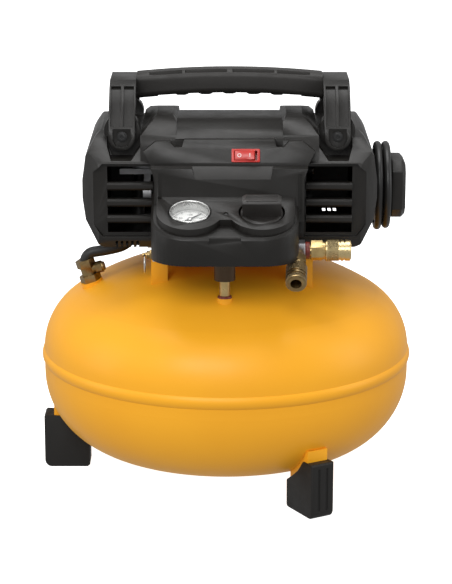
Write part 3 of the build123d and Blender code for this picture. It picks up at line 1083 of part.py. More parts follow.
for place, side in (("left", -1), ("right", 1)):
    leg_x = SHROUD_X + side * SADDLE_X
    half = SADDLE_WIDTH / 2
    with BuildPart() as saddle:
        across_x(mirrored(ARCH), leg_x - half, leg_x + half)
        across_x(mirrored(ARCH_INNER), leg_x - half - 1, leg_x + half + 1, Mode.SUBTRACT)
        with BuildSketch(Plane.XZ) as round_ends:
            with Locations((leg_x, HANDLE_BOLT_Z)):
                Circle(half)
            with Locations((leg_x, HANDLE_BOLT_Z + 40)):
                Rectangle(SADDLE_WIDTH, 80)
        extrude(round_ends.sketch, amount=150, both=True, mode=Mode.INTERSECT)
        for x0, x1 in CHANNELS:
            front_cut = [(-81.5, 412), (-70.2, 430.5), (-54.0, 446.4), (-50, 448), (-62, 470), (-100, 440),
                         (-100, 412)]
            for outline in (front_cut, [(2 * HANDLE_Y - y, z) for y, z in front_cut]):
                across_x(outline, leg_x + x0, leg_x + x1, Mode.SUBTRACT)
        pocket = [(-9.6, 410), (9.6, 410), (9.6, 398), (6.5, 392), (0, 390), (-6.5, 392), (-9.6, 398)]
        pocket = [(leg_x + x, z) for x, z in pocket]
        across_y(pocket, -92, -84.5, Mode.SUBTRACT)
        across_y(pocket, 2 * HANDLE_Y + 84.5, 2 * HANDLE_Y + 92, Mode.SUBTRACT)
        rod((leg_x, -95, HANDLE_BOLT_Z), (leg_x, 70, HANDLE_BOLT_Z), BOLT_R, Mode.SUBTRACT)
    saddle.part.label = f"handle_{place}_saddle"
    export_step(saddle.part, f"parts/handle_{place}_saddle.step")

GRIP_LEFT = SHROUD_X - SADDLE_X + SADDLE_WIDTH / 2
GRIP_RIGHT = SHROUD_X + SADDLE_X - SADDLE_WIDTH / 2
BUMP_PITCH = 26.4
with BuildPart() as handle_grip:
    with BuildLine() as arch_line:
        ThreePointArc((GRIP_LEFT - 4, HANDLE_Y, GRIP_ENDS_Z), (SHROUD_X, HANDLE_Y, GRIP_MID_Z),
                      (GRIP_RIGHT + 4, HANDLE_Y, GRIP_ENDS_Z))
    grip_end = Plane(origin=arch_line.line @ 0, x_dir=(0, 1, 0), z_dir=arch_line.line % 0)
    with BuildSketch(grip_end) as grip_section:
        RectangleRounded(GRIP_DEPTH, GRIP_HEIGHT, 8.5)
    sweep(grip_section.sketch, path=arch_line.line)
    underside = GRIP_MID_Z - GRIP_HEIGHT / 2
    hollow = [(SHROUD_X - 84, underside - 9), (SHROUD_X - 78, underside - 1.2), (SHROUD_X - 40, underside + 1.0),
              (SHROUD_X, underside + 1.9), (SHROUD_X + 40, underside + 1.0), (SHROUD_X + 78, underside - 1.2),
              (SHROUD_X + 84, underside - 9)]
    across_y(hollow, -60, 40, Mode.SUBTRACT)
    for bump in range(-2, 3):
        bump_x = SHROUD_X + bump * BUMP_PITCH
        bump_z = underside + 1.9 - abs(bump) * 0.75
        finger = [(-8, 3), (-7.5, -0.4), (-4, -1.7), (4, -1.7), (7.5, -0.4), (8, 3)]
        across_y([(bump_x + x, bump_z + z) for x, z in finger], HANDLE_Y - 12, HANDLE_Y + 12)
    for x0, x1 in ((-88, -52), (-49, -3), (3, 49), (52, 88)):
        sag = 5.6 * ((x0 + x1) / 2 / 100) ** 2
        slot_z = GRIP_MID_Z + GRIP_HEIGHT / 2 - sag
        block((SHROUD_X + x0, HANDLE_Y - 14.5, slot_z - 3.6), (SHROUD_X + x1, HANDLE_Y - 9.0, slot_z + 4),
              Mode.SUBTRACT)
    block((GRIP_LEFT - 30, -60, 400), (GRIP_LEFT, 40, 500), Mode.SUBTRACT)
    block((GRIP_RIGHT, -60, 400), (GRIP_RIGHT + 30, 40, 500), Mode.SUBTRACT)
print("grip solids", len(handle_grip.part.solids()), handle_grip.part.bounding_box())
handle_grip.part.label = "handle_grip"
export_step(handle_grip.part, "parts/handle_grip.step")

with BuildPart() as handle_bolts:
    for side in (-1, 1):
        leg_x = SHROUD_X + side * SADDLE_X
        for face_y, inward in ((-84.5, 1), (2 * HANDLE_Y + 84.5, -1)):
            seat, into = (leg_x, face_y, HANDLE_BOLT_Z), (0, inward, 0)
            rod(seat, moved(seat, into, 17), BOLT_R)
            rod(moved(seat, into, -0.8), seat, 5.6)
            rod(moved(seat, into, -3.4), moved(seat, into, -0.8), 4.3)
            hexagon(moved(seat, into, -3.6), moved(seat, into, -1.6), 4.0, Mode.SUBTRACT)
handle_bolts.part.label = "handle_bolts"
export_step(handle_bolts.part, "parts/handle_bolts.step")

# ---------------------------------------------------------------- cord wrap, cord and plug
WALL_X = SHROUD_X + SHROUD_HALF
CORE_R = 24.2
FLANGE_LEFT, FLANGE_RIGHT = 184.0, 199.6
FLANGE_HALF, FLANGE_CUT = 32.5, 11.0
with BuildPart() as cord_wrap:
    rod((WALL_X, 0, WRAP_Z), (FLANGE_LEFT, 0, WRAP_Z), CORE_R)
    rod((WALL_X - 1, 0, WRAP_Z), (FLANGE_LEFT - 3, 0, WRAP_Z), CORE_R - 4, Mode.SUBTRACT)
    near, cut = FLANGE_HALF, FLANGE_HALF - FLANGE_CUT
    octagon = [(near, cut), (cut, near), (-cut, near), (-near, cut)]
    octagon += [(-y, -z) for y, z in octagon]
    with BuildSketch(Plane.YZ.offset(FLANGE_LEFT)) as flange_shape:
        with Locations((0, WRAP_Z)):
            Polygon(*octagon, align=None)
    extrude(flange_shape.sketch, amount=FLANGE_RIGHT - FLANGE_LEFT)
    chamfer(cord_wrap.faces().sort_by(Axis.X)[-1].edges(), 4.5)
    rod((FLANGE_LEFT - 3.5, 0, WRAP_Z), (FLANGE_RIGHT - 4, 0, WRAP_Z), 12, Mode.SUBTRACT)
cord_wrap.part.label = "cord_wrap"
export_step(cord_wrap.part, "parts/cord_wrap.step")

with BuildPart() as cord_gland:
    turned((GLAND_X, GLAND_Y, GLAND_Z), (0, -1, 0),
           [(0, -5), (5.4, -5), (5.4, 0), (7.6, 0), (7.6, 3), (6.6, 4), (5.4, 26), (0, 26)])
cord_gland.part.label = "cord_gland"
export_step(cord_gland.part, "parts/cord_gland.step")

LEAD_COLUMN, TAIL_COLUMN = 169.4, 178.6
LEAD_ROUTE = [(GLAND_X, GLAND_Y - 26, GLAND_Z), (GLAND_X, 38.0, GLAND_Z), (LEAD_COLUMN, 19.4, 287.5)]
TAIL_ROUTE = [(TAIL_COLUMN, 22.9, 370.3), (179.2, 44.0, 358.2), (183.6, 67.0, 347.7), (184.6, 89.0, 342.0),
              (178.0, 107.1, 341.0), (165.1, 120.0, 341.0), (148.1, PLUG_Y, PLUG_Z), (PLUG_START, PLUG_Y, PLUG_Z)]


def cord_radii(route):
    """A slack cord's arcs: 0.45 of the shorter run over the tangent of half the turn."""
    radii = []
    for here, corner, beyond in zip(route, route[1:], route[2:]):
        before = Vector(*corner) - Vector(*here)
        after = Vector(*beyond) - Vector(*corner)
        radii.append(0.45 * min(before.length, after.length) / tan(radians(before.get_angle(after) / 2)))
    return radii



with BuildPart() as cord_lead:
    lead, lead_length = tube(LEAD_ROUTE, cord_radii(LEAD_ROUTE), CORD_D / 2)
    add(lead)
    tail, tail_length = tube(TAIL_ROUTE, cord_radii(TAIL_ROUTE), CORD_D / 2)
    add(tail)
    rod((LEAD_COLUMN - 4.9, 0, WRAP_Z), (TAIL_COLUMN + 4.6, 0, WRAP_Z), WRAP_R, Mode.SUBTRACT)
cord_lead.part.label = "cord_lead"
export_step(cord_lead.part, "parts/cord_lead.step")
print("lead", round(lead_length, 1), "radii", [round(r, 1) for r in cord_radii(LEAD_ROUTE)])
print("tail", round(tail_length, 1), "radii", [round(r, 1) for r in cord_radii(TAIL_ROUTE)])

with BuildPart() as cord_coil:
    rod((LEAD_COLUMN - 4.9, 0, WRAP_Z), (TAIL_COLUMN + 4.6, 0, WRAP_Z), WRAP_R)
    rod((LEAD_COLUMN - 6, 0, WRAP_Z), (TAIL_COLUMN + 6, 0, WRAP_Z), CORE_R + 0.4, Mode.SUBTRACT)
cord_coil.part.label = "cord_coil"
export_step(cord_coil.part, "parts/cord_coil.step")

with BuildPart() as power_plug:
    turned((PLUG_START, PLUG_Y, PLUG_Z), (-1, 0, 0), [(0, 0), (4.9, 0), (6.2, 14), (0, 14)])
    block((PLUG_START - 38, PLUG_Y - 9.5, PLUG_Z - 13), (PLUG_START - 13, PLUG_Y + 9.5, PLUG_Z + 13))
    chamfer(power_plug.edges().filter_by(Axis.X), 3.5)
    for blade_y in (-6.35, 6.35):
        blade_mid = PLUG_Y + blade_y
        block((PLUG_START - 54, blade_mid - 0.75, PLUG_Z - 2), (PLUG_START - 37, blade_mid + 0.75, PLUG_Z + 4.3))
    rod((PLUG_START - 37, PLUG_Y, PLUG_Z - 8), (PLUG_START - 57, PLUG_Y, PLUG_Z - 8), 2.4)
power_plug.part.label = "power_plug"
export_step(power_plug.part, "parts/power_plug.step")
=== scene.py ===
"""Looks for the pancake air compressor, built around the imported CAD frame."""

import json
import math

import bmesh
import bpy
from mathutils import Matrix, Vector


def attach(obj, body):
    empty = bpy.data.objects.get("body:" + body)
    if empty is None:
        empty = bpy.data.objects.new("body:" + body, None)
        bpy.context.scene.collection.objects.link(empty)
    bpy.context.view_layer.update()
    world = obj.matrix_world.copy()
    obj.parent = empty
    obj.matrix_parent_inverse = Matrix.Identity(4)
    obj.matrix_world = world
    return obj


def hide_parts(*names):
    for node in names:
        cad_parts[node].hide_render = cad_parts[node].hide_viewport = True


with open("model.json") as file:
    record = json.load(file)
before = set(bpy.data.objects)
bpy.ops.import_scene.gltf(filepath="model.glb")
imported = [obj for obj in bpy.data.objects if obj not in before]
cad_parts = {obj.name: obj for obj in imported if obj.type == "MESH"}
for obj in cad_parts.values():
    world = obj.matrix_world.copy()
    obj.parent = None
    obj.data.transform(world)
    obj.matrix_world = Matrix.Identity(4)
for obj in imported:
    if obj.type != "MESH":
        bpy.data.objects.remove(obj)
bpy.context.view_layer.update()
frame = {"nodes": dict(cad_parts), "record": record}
nodes = frame["nodes"]
MM = 0.001

# ---------------------------------------------------------------- camera
CAMERA_ELEVATION = math.radians(16.61)
CAMERA_DISTANCE = 2.484
AIM = Vector((0, 0, 0.139))  # the middle of the tank's weld band
AIM_BELOW_CENTRE = math.radians(1.4805)
SENSOR_WIDTH = 36.0
FOCAL_LENGTH = 133.57
camera_data = bpy.data.cameras.new("camera")
camera_data.sensor_fit = "AUTO"
camera_data.sensor_width = SENSOR_WIDTH
camera_data.lens = FOCAL_LENGTH
camera_data.clip_end = 30
camera = bpy.data.objects.new("camera", camera_data)
towards_camera = Vector((0, -math.cos(CAMERA_ELEVATION), math.sin(CAMERA_ELEVATION)))
camera.location = AIM + towards_camera * CAMERA_DISTANCE
camera.rotation_euler = (math.pi / 2 - CAMERA_ELEVATION + AIM_BELOW_CENTRE, 0, 0)
bpy.context.scene.collection.objects.link(camera)
bpy.context.scene.camera = camera
bpy.context.scene.view_settings.view_transform = "Standard"


# ---------------------------------------------------------------- material helpers
def node_tree(name):
    material = bpy.data.materials.new(name)
    material.use_nodes = True
    tree = material.node_tree
    return material, tree, tree.nodes["Principled BSDF"]


def coordinates(tree, stretch=None):
    source = tree.nodes.new("ShaderNodeTexCoord").outputs["Object"]
    if stretch is None:
        return source
    mapping = tree.nodes.new("ShaderNodeMapping")
    mapping.inputs["Scale"].default_value = stretch
    tree.links.new(source, mapping.inputs["Vector"])
    return mapping.outputs["Vector"]


def noise(tree, vector, scale, detail=3.0, roughness=0.5):
    node = tree.nodes.new("ShaderNodeTexNoise")
    node.inputs["Scale"].default_value = scale
    node.inputs["Detail"].default_value = detail
    node.inputs["Roughness"].default_value = roughness
    tree.links.new(vector, node.inputs["Vector"])
    return node.outputs["Fac"]


def spread(tree, value, low, high, start=0.0, end=1.0):
    node = tree.nodes.new("ShaderNodeMapRange")
    for socket, number in (("From Min", start), ("From Max", end), ("To Min", low), ("To Max", high)):
        node.inputs[socket].default_value = number
    tree.links.new(value, node.inputs["Value"])
    return node.outputs["Result"]


def mixed(tree, factor, first, second):
    """Mixes two colours, each given as numbers or as a socket."""
    node = tree.nodes.new("ShaderNodeMix")
    node.data_type = "RGBA"
    for place, colour in ((6, first), (7, second)):
        if isinstance(colour, tuple):
            node.inputs[place].default_value = (*colour, 1)
        else:
            tree.links.new(colour, node.inputs[place])
    tree.links.new(factor, node.inputs[0])
    return node.outputs[2]


def math_node(tree, operation, first, second=None):
    node = tree.nodes.new("ShaderNodeMath")
    node.operation = operation
    for place, value in enumerate((first, second)):
        if value is None:
            continue
        if isinstance(value, (int, float)):
            node.inputs[place].default_value = value
        else:
            tree.links.new(value, node.inputs[place])
    return node.outputs[0]


def bumped(tree, shader, height, distance):
    node = tree.nodes.new("ShaderNodeBump")
    node.inputs["Distance"].default_value = distance
    tree.links.new(height, node.inputs["Height"])
    tree.links.new(node.outputs["Normal"], shader.inputs["Normal"])


def finish_material(name, colour, dark, rough, grain, depth,
                    metal=0.0, patch=14.0, specular=0.5, stretch=None):
    """A surface with slow colour variation, uneven roughness and a fine grain.

    Grain and patch are features per metre, depth is the grain's height in metres, and stretch says how many
    times finer the grain is along each axis.
    """
    material, tree, shader = node_tree(name)
    vector = coordinates(tree)
    clouds = spread(tree, noise(tree, vector, patch, 4.0, 0.6), 0.0, 1.0, 0.35, 0.68)
    tint = mixed(tree, clouds, colour, dark)
    tree.links.new(tint, shader.inputs["Base Color"])
    uneven = spread(tree, noise(tree, vector, patch * 3.1, 5.0, 0.65), rough[0], rough[1], 0.3, 0.7)
    tree.links.new(uneven, shader.inputs["Roughness"])
    fine = noise(tree, coordinates(tree, stretch) if stretch else vector, grain, 2.0, 0.5)
    bumped(tree, shader, fine, depth)
    shader.inputs["Metallic"].default_value = metal
    shader.inputs["Specular IOR Level"].default_value = specular
    return material


RIDGES = 52
RIDGE_PITCH = 1.1 * MM
RIDGE_DEPTH = 0.22 * MM
GROOVE_DARKENING, GROOVE_SHARE = 0.28, 0.75


def knurled(name, colour, dark, centre, along, bands):
    """Tarnished brass with crossed knurling round an axis, inside bands in mm along it from the centre."""
    material = finish_material(name, colour, dark, (0.22, 0.42), 1500.0, 0.00002, metal=1.0, patch=90.0)
    tree = material.node_tree
    shader = tree.nodes["Principled BSDF"]
    along = Vector(along).normalized()
    across = along.cross(Vector((0, 0, 1))).normalized()
    source = coordinates(tree)
    offset = tree.nodes.new("ShaderNodeVectorMath")
    offset.operation = "SUBTRACT"
    offset.inputs[1].default_value = Vector(centre) * MM
    tree.links.new(source, offset.inputs[0])
    parts = []
    for direction in (across, along.cross(across), along):
        dot = tree.nodes.new("ShaderNodeVectorMath")
        dot.operation = "DOT_PRODUCT"
        dot.inputs[1].default_value = direction
        tree.links.new(offset.outputs[0], dot.inputs[0])
        parts.append(dot.outputs["Value"])
    turn = math_node(tree, "MULTIPLY", math_node(tree, "ARCTAN2", parts[1], parts[0]), RIDGES)
    climb = math_node(tree, "MULTIPLY", parts[2], 2 * math.pi / RIDGE_PITCH)
    left = math_node(tree, "ABSOLUTE", math_node(tree, "SINE", math_node(tree, "ADD", turn, climb)))
    right = math_node(tree, "ABSOLUTE", math_node(tree, "SINE", math_node(tree, "SUBTRACT", turn, climb)))
    pattern = math_node(tree, "MULTIPLY", left, right)
    inside = None
    for low, high in bands:
        above = math_node(tree, "GREATER_THAN", parts[2], low * MM)
        below = math_node(tree, "LESS_THAN", parts[2], high * MM)
        band = math_node(tree, "MULTIPLY", above, below)
        inside = band if inside is None else math_node(tree, "ADD", inside, band)
    height = math_node(tree, "MULTIPLY", pattern, inside)
    bumped(tree, shader, height, RIDGE_DEPTH)
    # The grooves' colour is darkened towards groove_colour, over GROOVE_SHARE of the way, so the knurl is
    # darker in its grooves.
    grooves = math_node(tree, "MULTIPLY", math_node(tree, "SUBTRACT", 1.0, pattern), inside)
    groove_colour = tuple(value * GROOVE_DARKENING for value in dark)
    groove_darkened_colour = mixed(tree, math_node(tree, "MULTIPLY", grooves, GROOVE_SHARE), colour, groove_colour)
    tree.links.new(groove_darkened_colour, shader.inputs["Base Color"])
    return material


# ---------------------------------------------------------------- materials
paint = finish_material("tank_paint", (0.92, 0.420, 0.020), (0.89, 0.392, 0.017), (0.36, 0.46), 380.0,
                        0.00005, patch=5.0, specular=0.28)
plastic = finish_material("shroud_plastic", (0.0098, 0.0086, 0.0072), (0.0075, 0.0067, 0.0057),
                          (0.34, 0.46), 2600.0, 0.00008, specular=0.36)
knob_plastic = finish_material("knob_plastic", (0.016, 0.014, 0.0125), (0.011, 0.010, 0.009), (0.36, 0.46),
                               3000.0, 0.00005, specular=0.45)
grip = finish_material("grip_rubber", (0.017, 0.0150, 0.0132), (0.012, 0.0108, 0.0096), (0.46, 0.6), 1900.0,
                       0.0001, specular=0.45)
rubber = finish_material("foot_rubber", (0.011, 0.0102, 0.009), (0.008, 0.0074, 0.0066), (0.5, 0.65),
                         1500.0, 0.00009, specular=0.36)
cord_rubber = finish_material("cord_rubber", (0.012, 0.0118, 0.0112), (0.008, 0.008, 0.0076), (0.34, 0.46),
                              2200.0, 0.00004)
brass = finish_material("brass", (0.64, 0.48, 0.22), (0.40, 0.27, 0.11), (0.24, 0.42), 1400.0, 0.00002,
                        metal=1.0, patch=60.0)
steel = finish_material("zinc_steel", (0.62, 0.61, 0.58), (0.48, 0.47, 0.45), (0.24, 0.42), 900.0, 0.00003,
                        metal=1.0, patch=70.0)
aluminium = finish_material("machined_aluminium", (0.70, 0.70, 0.71), (0.56, 0.56, 0.58), (0.28, 0.42),
                            1200.0, 0.00004, metal=1.0, patch=50.0, stretch=(1, 8, 8))
cast_aluminium = finish_material("cast_aluminium", (0.48, 0.48, 0.49), (0.36, 0.36, 0.37), (0.45, 0.6),
                                 900.0, 0.0002, metal=1.0, patch=40.0)
iron = finish_material("cast_iron", (0.10, 0.10, 0.10), (0.06, 0.06, 0.06), (0.5, 0.7), 700.0, 0.0002,
                       metal=0.7)
laminations = finish_material("laminations", (0.30, 0.28, 0.26), (0.20, 0.19, 0.18), (0.35, 0.5), 1500.0,
                              0.0002, metal=1.0, stretch=(12, 1, 1))
bearing = finish_material("bearing_steel", (0.70, 0.70, 0.70), (0.6, 0.6, 0.6), (0.12, 0.2), 800.0, 0.00001,
                          metal=1.0)
motor_paint = finish_material("motor_paint", (0.014, 0.014, 0.014), (0.010, 0.010, 0.010), (0.3, 0.42),
                              900.0, 0.00006)
inner = finish_material("inner_plastic", (0.010, 0.0095, 0.009), (0.007, 0.007, 0.0065), (0.45, 0.6),
                        2200.0, 0.00006)
sealant = finish_material("sealant", (0.20, 0.022, 0.012), (0.10, 0.014, 0.008), (0.3, 0.5), 700.0, 0.0005,
                          patch=200.0)
hose_material = finish_material("hose_rubber", (0.013, 0.0125, 0.012), (0.009, 0.009, 0.0085), (0.42, 0.56),
                                1600.0, 0.00008)
gauge_steel = finish_material("gauge_steel", (0.60, 0.60, 0.59), (0.42, 0.42, 0.41), (0.2, 0.34), 1000.0,
                              0.00001, metal=1.0, patch=50.0)
dial_white = finish_material("dial_white", (0.80, 0.80, 0.78), (0.72, 0.72, 0.70), (0.45, 0.55), 900.0,
                             0.00001, specular=0.3)
needle_black = finish_material("needle_black", (0.010, 0.010, 0.010), (0.008, 0.008, 0.008), (0.4, 0.5),
                               900.0, 0.00001, specular=0.3)
switch_red = finish_material("switch_red", (0.50, 0.020, 0.012), (0.40, 0.014, 0.010), (0.28, 0.4), 1500.0,
                             0.00002)
print_black = finish_material("dial_print", (0.012, 0.012, 0.012), (0.010, 0.010, 0.010), (0.4, 0.5), 900.0,
                              0.00001)
print_red = finish_material("dial_print_red", (0.45, 0.02, 0.015), (0.40, 0.02, 0.015), (0.4, 0.5), 900.0,
                            0.00001)
print_white = finish_material("switch_print", (0.75, 0.72, 0.70), (0.65, 0.62, 0.60), (0.4, 0.5), 900.0,
                              0.00001)

lens, _, lens_shader = node_tree("lens")
lens_shader.inputs["Base Color"].default_value = (0.9, 0.92, 0.93, 1)
lens_shader.inputs["Roughness"].default_value = 0.04
lens_shader.inputs["Specular IOR Level"].default_value = 0.5
lens_shader.inputs["Alpha"].default_value = 0.07

# ---------------------------------------------------------------- fittings with a finish of their own, the riser's union with painted shadow
riser_brass = finish_material("riser_brass", (0.64, 0.48, 0.22), (0.40, 0.27, 0.11), (0.26, 0.42), 1400.0,
                              0.00002, metal=1.0, patch=60.0)
# Above UNION_Z the riser's union gets a dark brown, which is painted shadow over its bronze colour.
UNION_Z = 253.4
UNION_PAINTED_SHADOW = (0.085, 0.058, 0.038)
riser_tree = riser_brass.node_tree
riser_shader = riser_tree.nodes["Principled BSDF"]
split = riser_tree.nodes.new("ShaderNodeSeparateXYZ")
riser_tree.links.new(coordinates(riser_tree), split.inputs[0])
painted_shadow_on_union = math_node(riser_tree, "GREATER_THAN", split.outputs["Z"], UNION_Z * MM)
brass_tint = riser_shader.inputs["Base Color"].links[0].from_socket
riser_colour_with_painted_shadow = mixed(riser_tree, painted_shadow_on_union, brass_tint, UNION_PAINTED_SHADOW)
riser_tree.links.new(riser_colour_with_painted_shadow, riser_shader.inputs["Base Color"])

MANIFOLD_Y, MANIFOLD_Z = -141.0, 289.6
SIDE_START, SIDE_AXIS = (84.0, MANIFOLD_Y, MANIFOLD_Z), (1, 0, 0)
FRONT_START = (75.5, MANIFOLD_Y - 9.5, MANIFOLD_Z - 2.9)
FRONT_TILT = math.radians(24.0)
FRONT_AXIS = (-0.05, -math.cos(FRONT_TILT), -math.sin(FRONT_TILT))
SLEEVE_BAND, MOUTH_BAND = (23.5, 35.5), (43.3, 47.2)
side_sleeve = knurled("side_sleeve_brass", (0.66, 0.52, 0.27), (0.42, 0.30, 0.14), SIDE_START,
                      SIDE_AXIS, [SLEEVE_BAND])
front_sleeve = knurled("front_sleeve_brass", (0.30, 0.215, 0.105), (0.16, 0.11, 0.05), FRONT_START,
                       FRONT_AXIS, [SLEEVE_BAND, MOUTH_BAND])
aged_brass = finish_material("aged_brass", (0.36, 0.26, 0.12), (0.20, 0.135, 0.06), (0.28, 0.45), 1300.0,
                             0.00003, metal=1.0, patch=80.0)

FINISHES = {
    "tank_paint": paint, "tank_shell_low": paint, "foot_rubber": rubber, "brass": brass,
    "zinc_steel": steel, "motor_paint": motor_paint, "laminations": laminations, "inner_plastic": inner,
    "cast_iron": iron, "belt_rubber": rubber, "cast_aluminium": cast_aluminium,
    "machined_aluminium": aluminium, "bearing_steel": bearing, "sealant": sealant,
    "hose_rubber": hose_material, "shroud_plastic": plastic, "gauge_steel": gauge_steel,
    "dial_white": dial_white, "needle_black": needle_black, "lens": lens, "knob_plastic": knob_plastic,
    "switch_red": switch_red, "grip_rubber": grip, "cord_rubber": cord_rubber,
}
OWN_FINISH = {
    "riser_nipple": riser_brass, "side_coupler_sleeve": side_sleeve, "front_coupler_sleeve": front_sleeve,
    "front_coupler_body": aged_brass, "check_valve": aged_brass, "relief_valve_body": aged_brass,
}
for part in frame["record"]["subparts"]:
    solid = nodes[part["node"]]
    while len(solid.material_slots) < 1:
        solid.data.materials.append(None)
    for slot in solid.material_slots:
        slot.material = OWN_FINISH.get(part["node"], FINISHES[part["material_slot"]])


# ---------------------------------------------------------------- softened edges of the CAD nodes
SEAM, FLAT_ANGLE, EDGE_ANGLE = 0.01 * MM, math.radians(0.6), math.radians(32.0)


def soften(name, width):
    """Joins the mesh's split corners and rounds its edges, as moulded and machined parts are."""
    solid = nodes[name]
    weld = solid.modifiers.new("weld", "WELD")
    weld.merge_threshold = SEAM
    flat = solid.modifiers.new("flat", "DECIMATE")
    flat.decimate_type = "DISSOLVE"
    flat.angle_limit = FLAT_ANGLE
    round_edges = solid.modifiers.new("round_edges", "BEVEL")
    round_edges.width = width * MM
    round_edges.segments = 2
    round_edges.limit_method = "ANGLE"
    round_edges.angle_limit = EDGE_ANGLE
    round_edges.use_clamp_overlap = True
    round_edges.harden_normals = True
    for polygon in solid.data.polygons:
        polygon.use_smooth = True


MOULDED, PRESSED, MACHINED = 0.9, 0.55, 0.35  # edge widths in mm
for name in ("front_cover", "rear_cover", "control_console", "handle_left_saddle", "handle_right_saddle",
             "cord_wrap", "rubber_foot_left", "rubber_foot_front", "rubber_foot_rear", "handle_grip",
             "regulator_knob", "power_plug"):
    soften(name, MOULDED)
for name in ("manifold", "foot_bracket_left", "foot_bracket_front", "foot_bracket_rear", "check_valve"):
    soften(name, PRESSED)
for name in ("switch_bezel", "switch_rocker", "side_coupler_body", "front_coupler_body", "handle_bolts",
             "pump_platform", "pump_base_plate", "relief_valve_body"):
    soften(name, MACHINED)


# ---------------------------------------------------------------- piece helpers
SAME_PLACE = 1e-7


def mesh_piece(name, build, material, body="frame", smooth=True):
    shape = bmesh.new()
    build(shape)
    mesh = bpy.data.meshes.new(name)
    shape.to_mesh(mesh)
    shape.free()
    for polygon in mesh.polygons:
        polygon.use_smooth = smooth
    piece = bpy.data.objects.new(name, mesh)
    bpy.context.scene.collection.objects.link(piece)
    mesh.materials.append(material)
    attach(piece, body)
    return piece


def axes_about(direction):
    """Two unit vectors square to a direction."""
    along = Vector(direction).normalized()
    side = Vector((1, 0, 0)) if abs(along.x) < 0.9 else Vector((0, 1, 0))
    across = (side - along * side.dot(along)).normalized()
    return across, along.cross(across), along


def lathe(shape, origin, direction, outline, around=96, start=0.0, sweep=2 * math.pi):
    """Turns (radius, height) points in mm about an axis. The outline ends on the axis or closes."""
    across, over, along = axes_about(direction)
    whole = sweep > math.radians(359)
    rings = []
    for turn in range(around if whole else around + 1):
        angle = start + sweep * turn / around
        out = across * math.cos(angle) + over * math.sin(angle)
        rings.append([shape.verts.new((Vector(origin) + out * r + along * h) * MM) for r, h in outline])
    pairs = list(zip(rings, rings[1:] + (rings[:1] if whole else [])))
    for near, far in pairs if whole else pairs[: len(rings) - 1]:
        for index in range(len(outline)):
            after = (index + 1) % len(outline)
            corners = []
            for vert in (near[index], near[after], far[after], far[index]):
                if all((vert.co - other.co).length > SAME_PLACE for other in corners):
                    corners.append(vert)
            if len(corners) > 2:
                shape.faces.new(corners)
    bmesh.ops.remove_doubles(shape, verts=shape.verts[:], dist=SAME_PLACE)
    bmesh.ops.recalc_face_normals(shape, faces=shape.faces[:])


def slab(shape, centre, first, second, third):
    """A box from its centre and three half-size vectors, in mm."""
    centre, first, second, third = Vector(centre), Vector(first), Vector(second), Vector(third)
    verts = {}
    for a in (-1, 1):
        for b in (-1, 1):
            for c in (-1, 1):
                verts[a, b, c] = shape.verts.new((centre + first * a + second * b + third * c) * MM)
    for flip in (-1, 1):
        shape.faces.new([verts[flip, -1, -1], verts[flip, 1, -1], verts[flip, 1, 1], verts[flip, -1, 1]])
        shape.faces.new([verts[-1, flip, -1], verts[1, flip, -1], verts[1, flip, 1], verts[-1, flip, 1]])
        shape.faces.new([verts[-1, -1, flip], verts[1, -1, flip], verts[1, 1, flip], verts[-1, 1, flip]])
    bmesh.ops.recalc_face_normals(shape, faces=shape.faces[:])


# ---------------------------------------------------------------- the wound cord
CORD_R = 4.2
WRAP_Z = 330.5
LEAD_COLUMN, TAIL_COLUMN = 169.4, 178.6
PLACES = [(LEAD_COLUMN, 45.9), (LEAD_COLUMN, 37.5), (LEAD_COLUMN, 28.9),
          (TAIL_COLUMN, 28.9), (TAIL_COLUMN, 37.5), (TAIL_COLUMN, 45.9)]
ENTRY_ANGLE, EXIT_ANGLE = -67.0, 60.0
TURNS = 5 - (EXIT_ANGLE - ENTRY_ANGLE) / 360
FIRST_CHANGE, CHANGE_EVERY, CHANGE_LENGTH = 0.62, 0.84, 0.16
STEPS = 16  # points in a turn
DROOP = 1.6
LOOSE_FROM, LOOSE_OVER = PLACES[1][1], PLACES[0][1] - PLACES[1][1]
LEAD = [(170.0, 56.0, 290.0), (170.0, 38.0, 290.0), (LEAD_COLUMN, 19.4, 287.5)]
TAIL = [(TAIL_COLUMN, 22.9, 370.3), (179.2, 44.0, 358.2), (183.6, 67.0, 347.7), (184.6, 89.0, 342.0),
        (178.0, 107.1, 341.0), (165.1, 120.0, 341.0), (148.1, 127.0, 341.0), (130.0, 127.0, 341.0)]


def wound_place(turn):
    """The column and radius of the winding after some turns: it steps from one place to the next."""
    passed = (turn - FIRST_CHANGE) / CHANGE_EVERY
    index = max(-1, min(len(PLACES) - 2, math.floor(passed)))
    if index < 0:
        return PLACES[0]
    share = min(1.0, (turn - FIRST_CHANGE - index * CHANGE_EVERY) / CHANGE_LENGTH)
    share = share * share * (3 - 2 * share)
    (x0, r0), (x1, r1) = PLACES[index], PLACES[index + 1]
    return x0 + (x1 - x0) * share, r0 + (r1 - r0) * share


def wound():
    """Points of the cord round the wrap, the outer turns hanging a little loose below it."""
    count = round(TURNS * STEPS)
    points = []
    for step in range(1, count):
        turn = TURNS * step / count
        x, radius = wound_place(turn)
        angle = math.radians(ENTRY_ANGLE) - 2 * math.pi * turn
        loose = DROOP * max(0.0, -math.sin(angle)) ** 2 * max(0.0, (radius - LOOSE_FROM) / LOOSE_OVER)
        points.append((x, (radius + loose) * math.cos(angle), WRAP_Z + (radius + loose) * math.sin(angle)))
    return points


route = LEAD + wound() + TAIL
cord_data = bpy.data.curves.new("mains_cord", "CURVE")
cord_data.dimensions = "3D"
cord_data.bevel_depth = CORD_R * MM
cord_data.bevel_resolution = 5
cord_data.resolution_u = 6
cord_data.use_fill_caps = True
line = cord_data.splines.new("NURBS")
line.points.add(len(route) - 1)
for point, place in zip(line.points, route):
    point.co = (*(value * MM for value in place), 1)
line.order_u = 3
line.use_endpoint_u = True
cord_data.materials.append(cord_rubber)
cord = bpy.data.objects.new("mains_cord", cord_data)
bpy.context.scene.collection.objects.link(cord)
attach(cord, "frame")
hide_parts("cord_lead", "cord_coil")

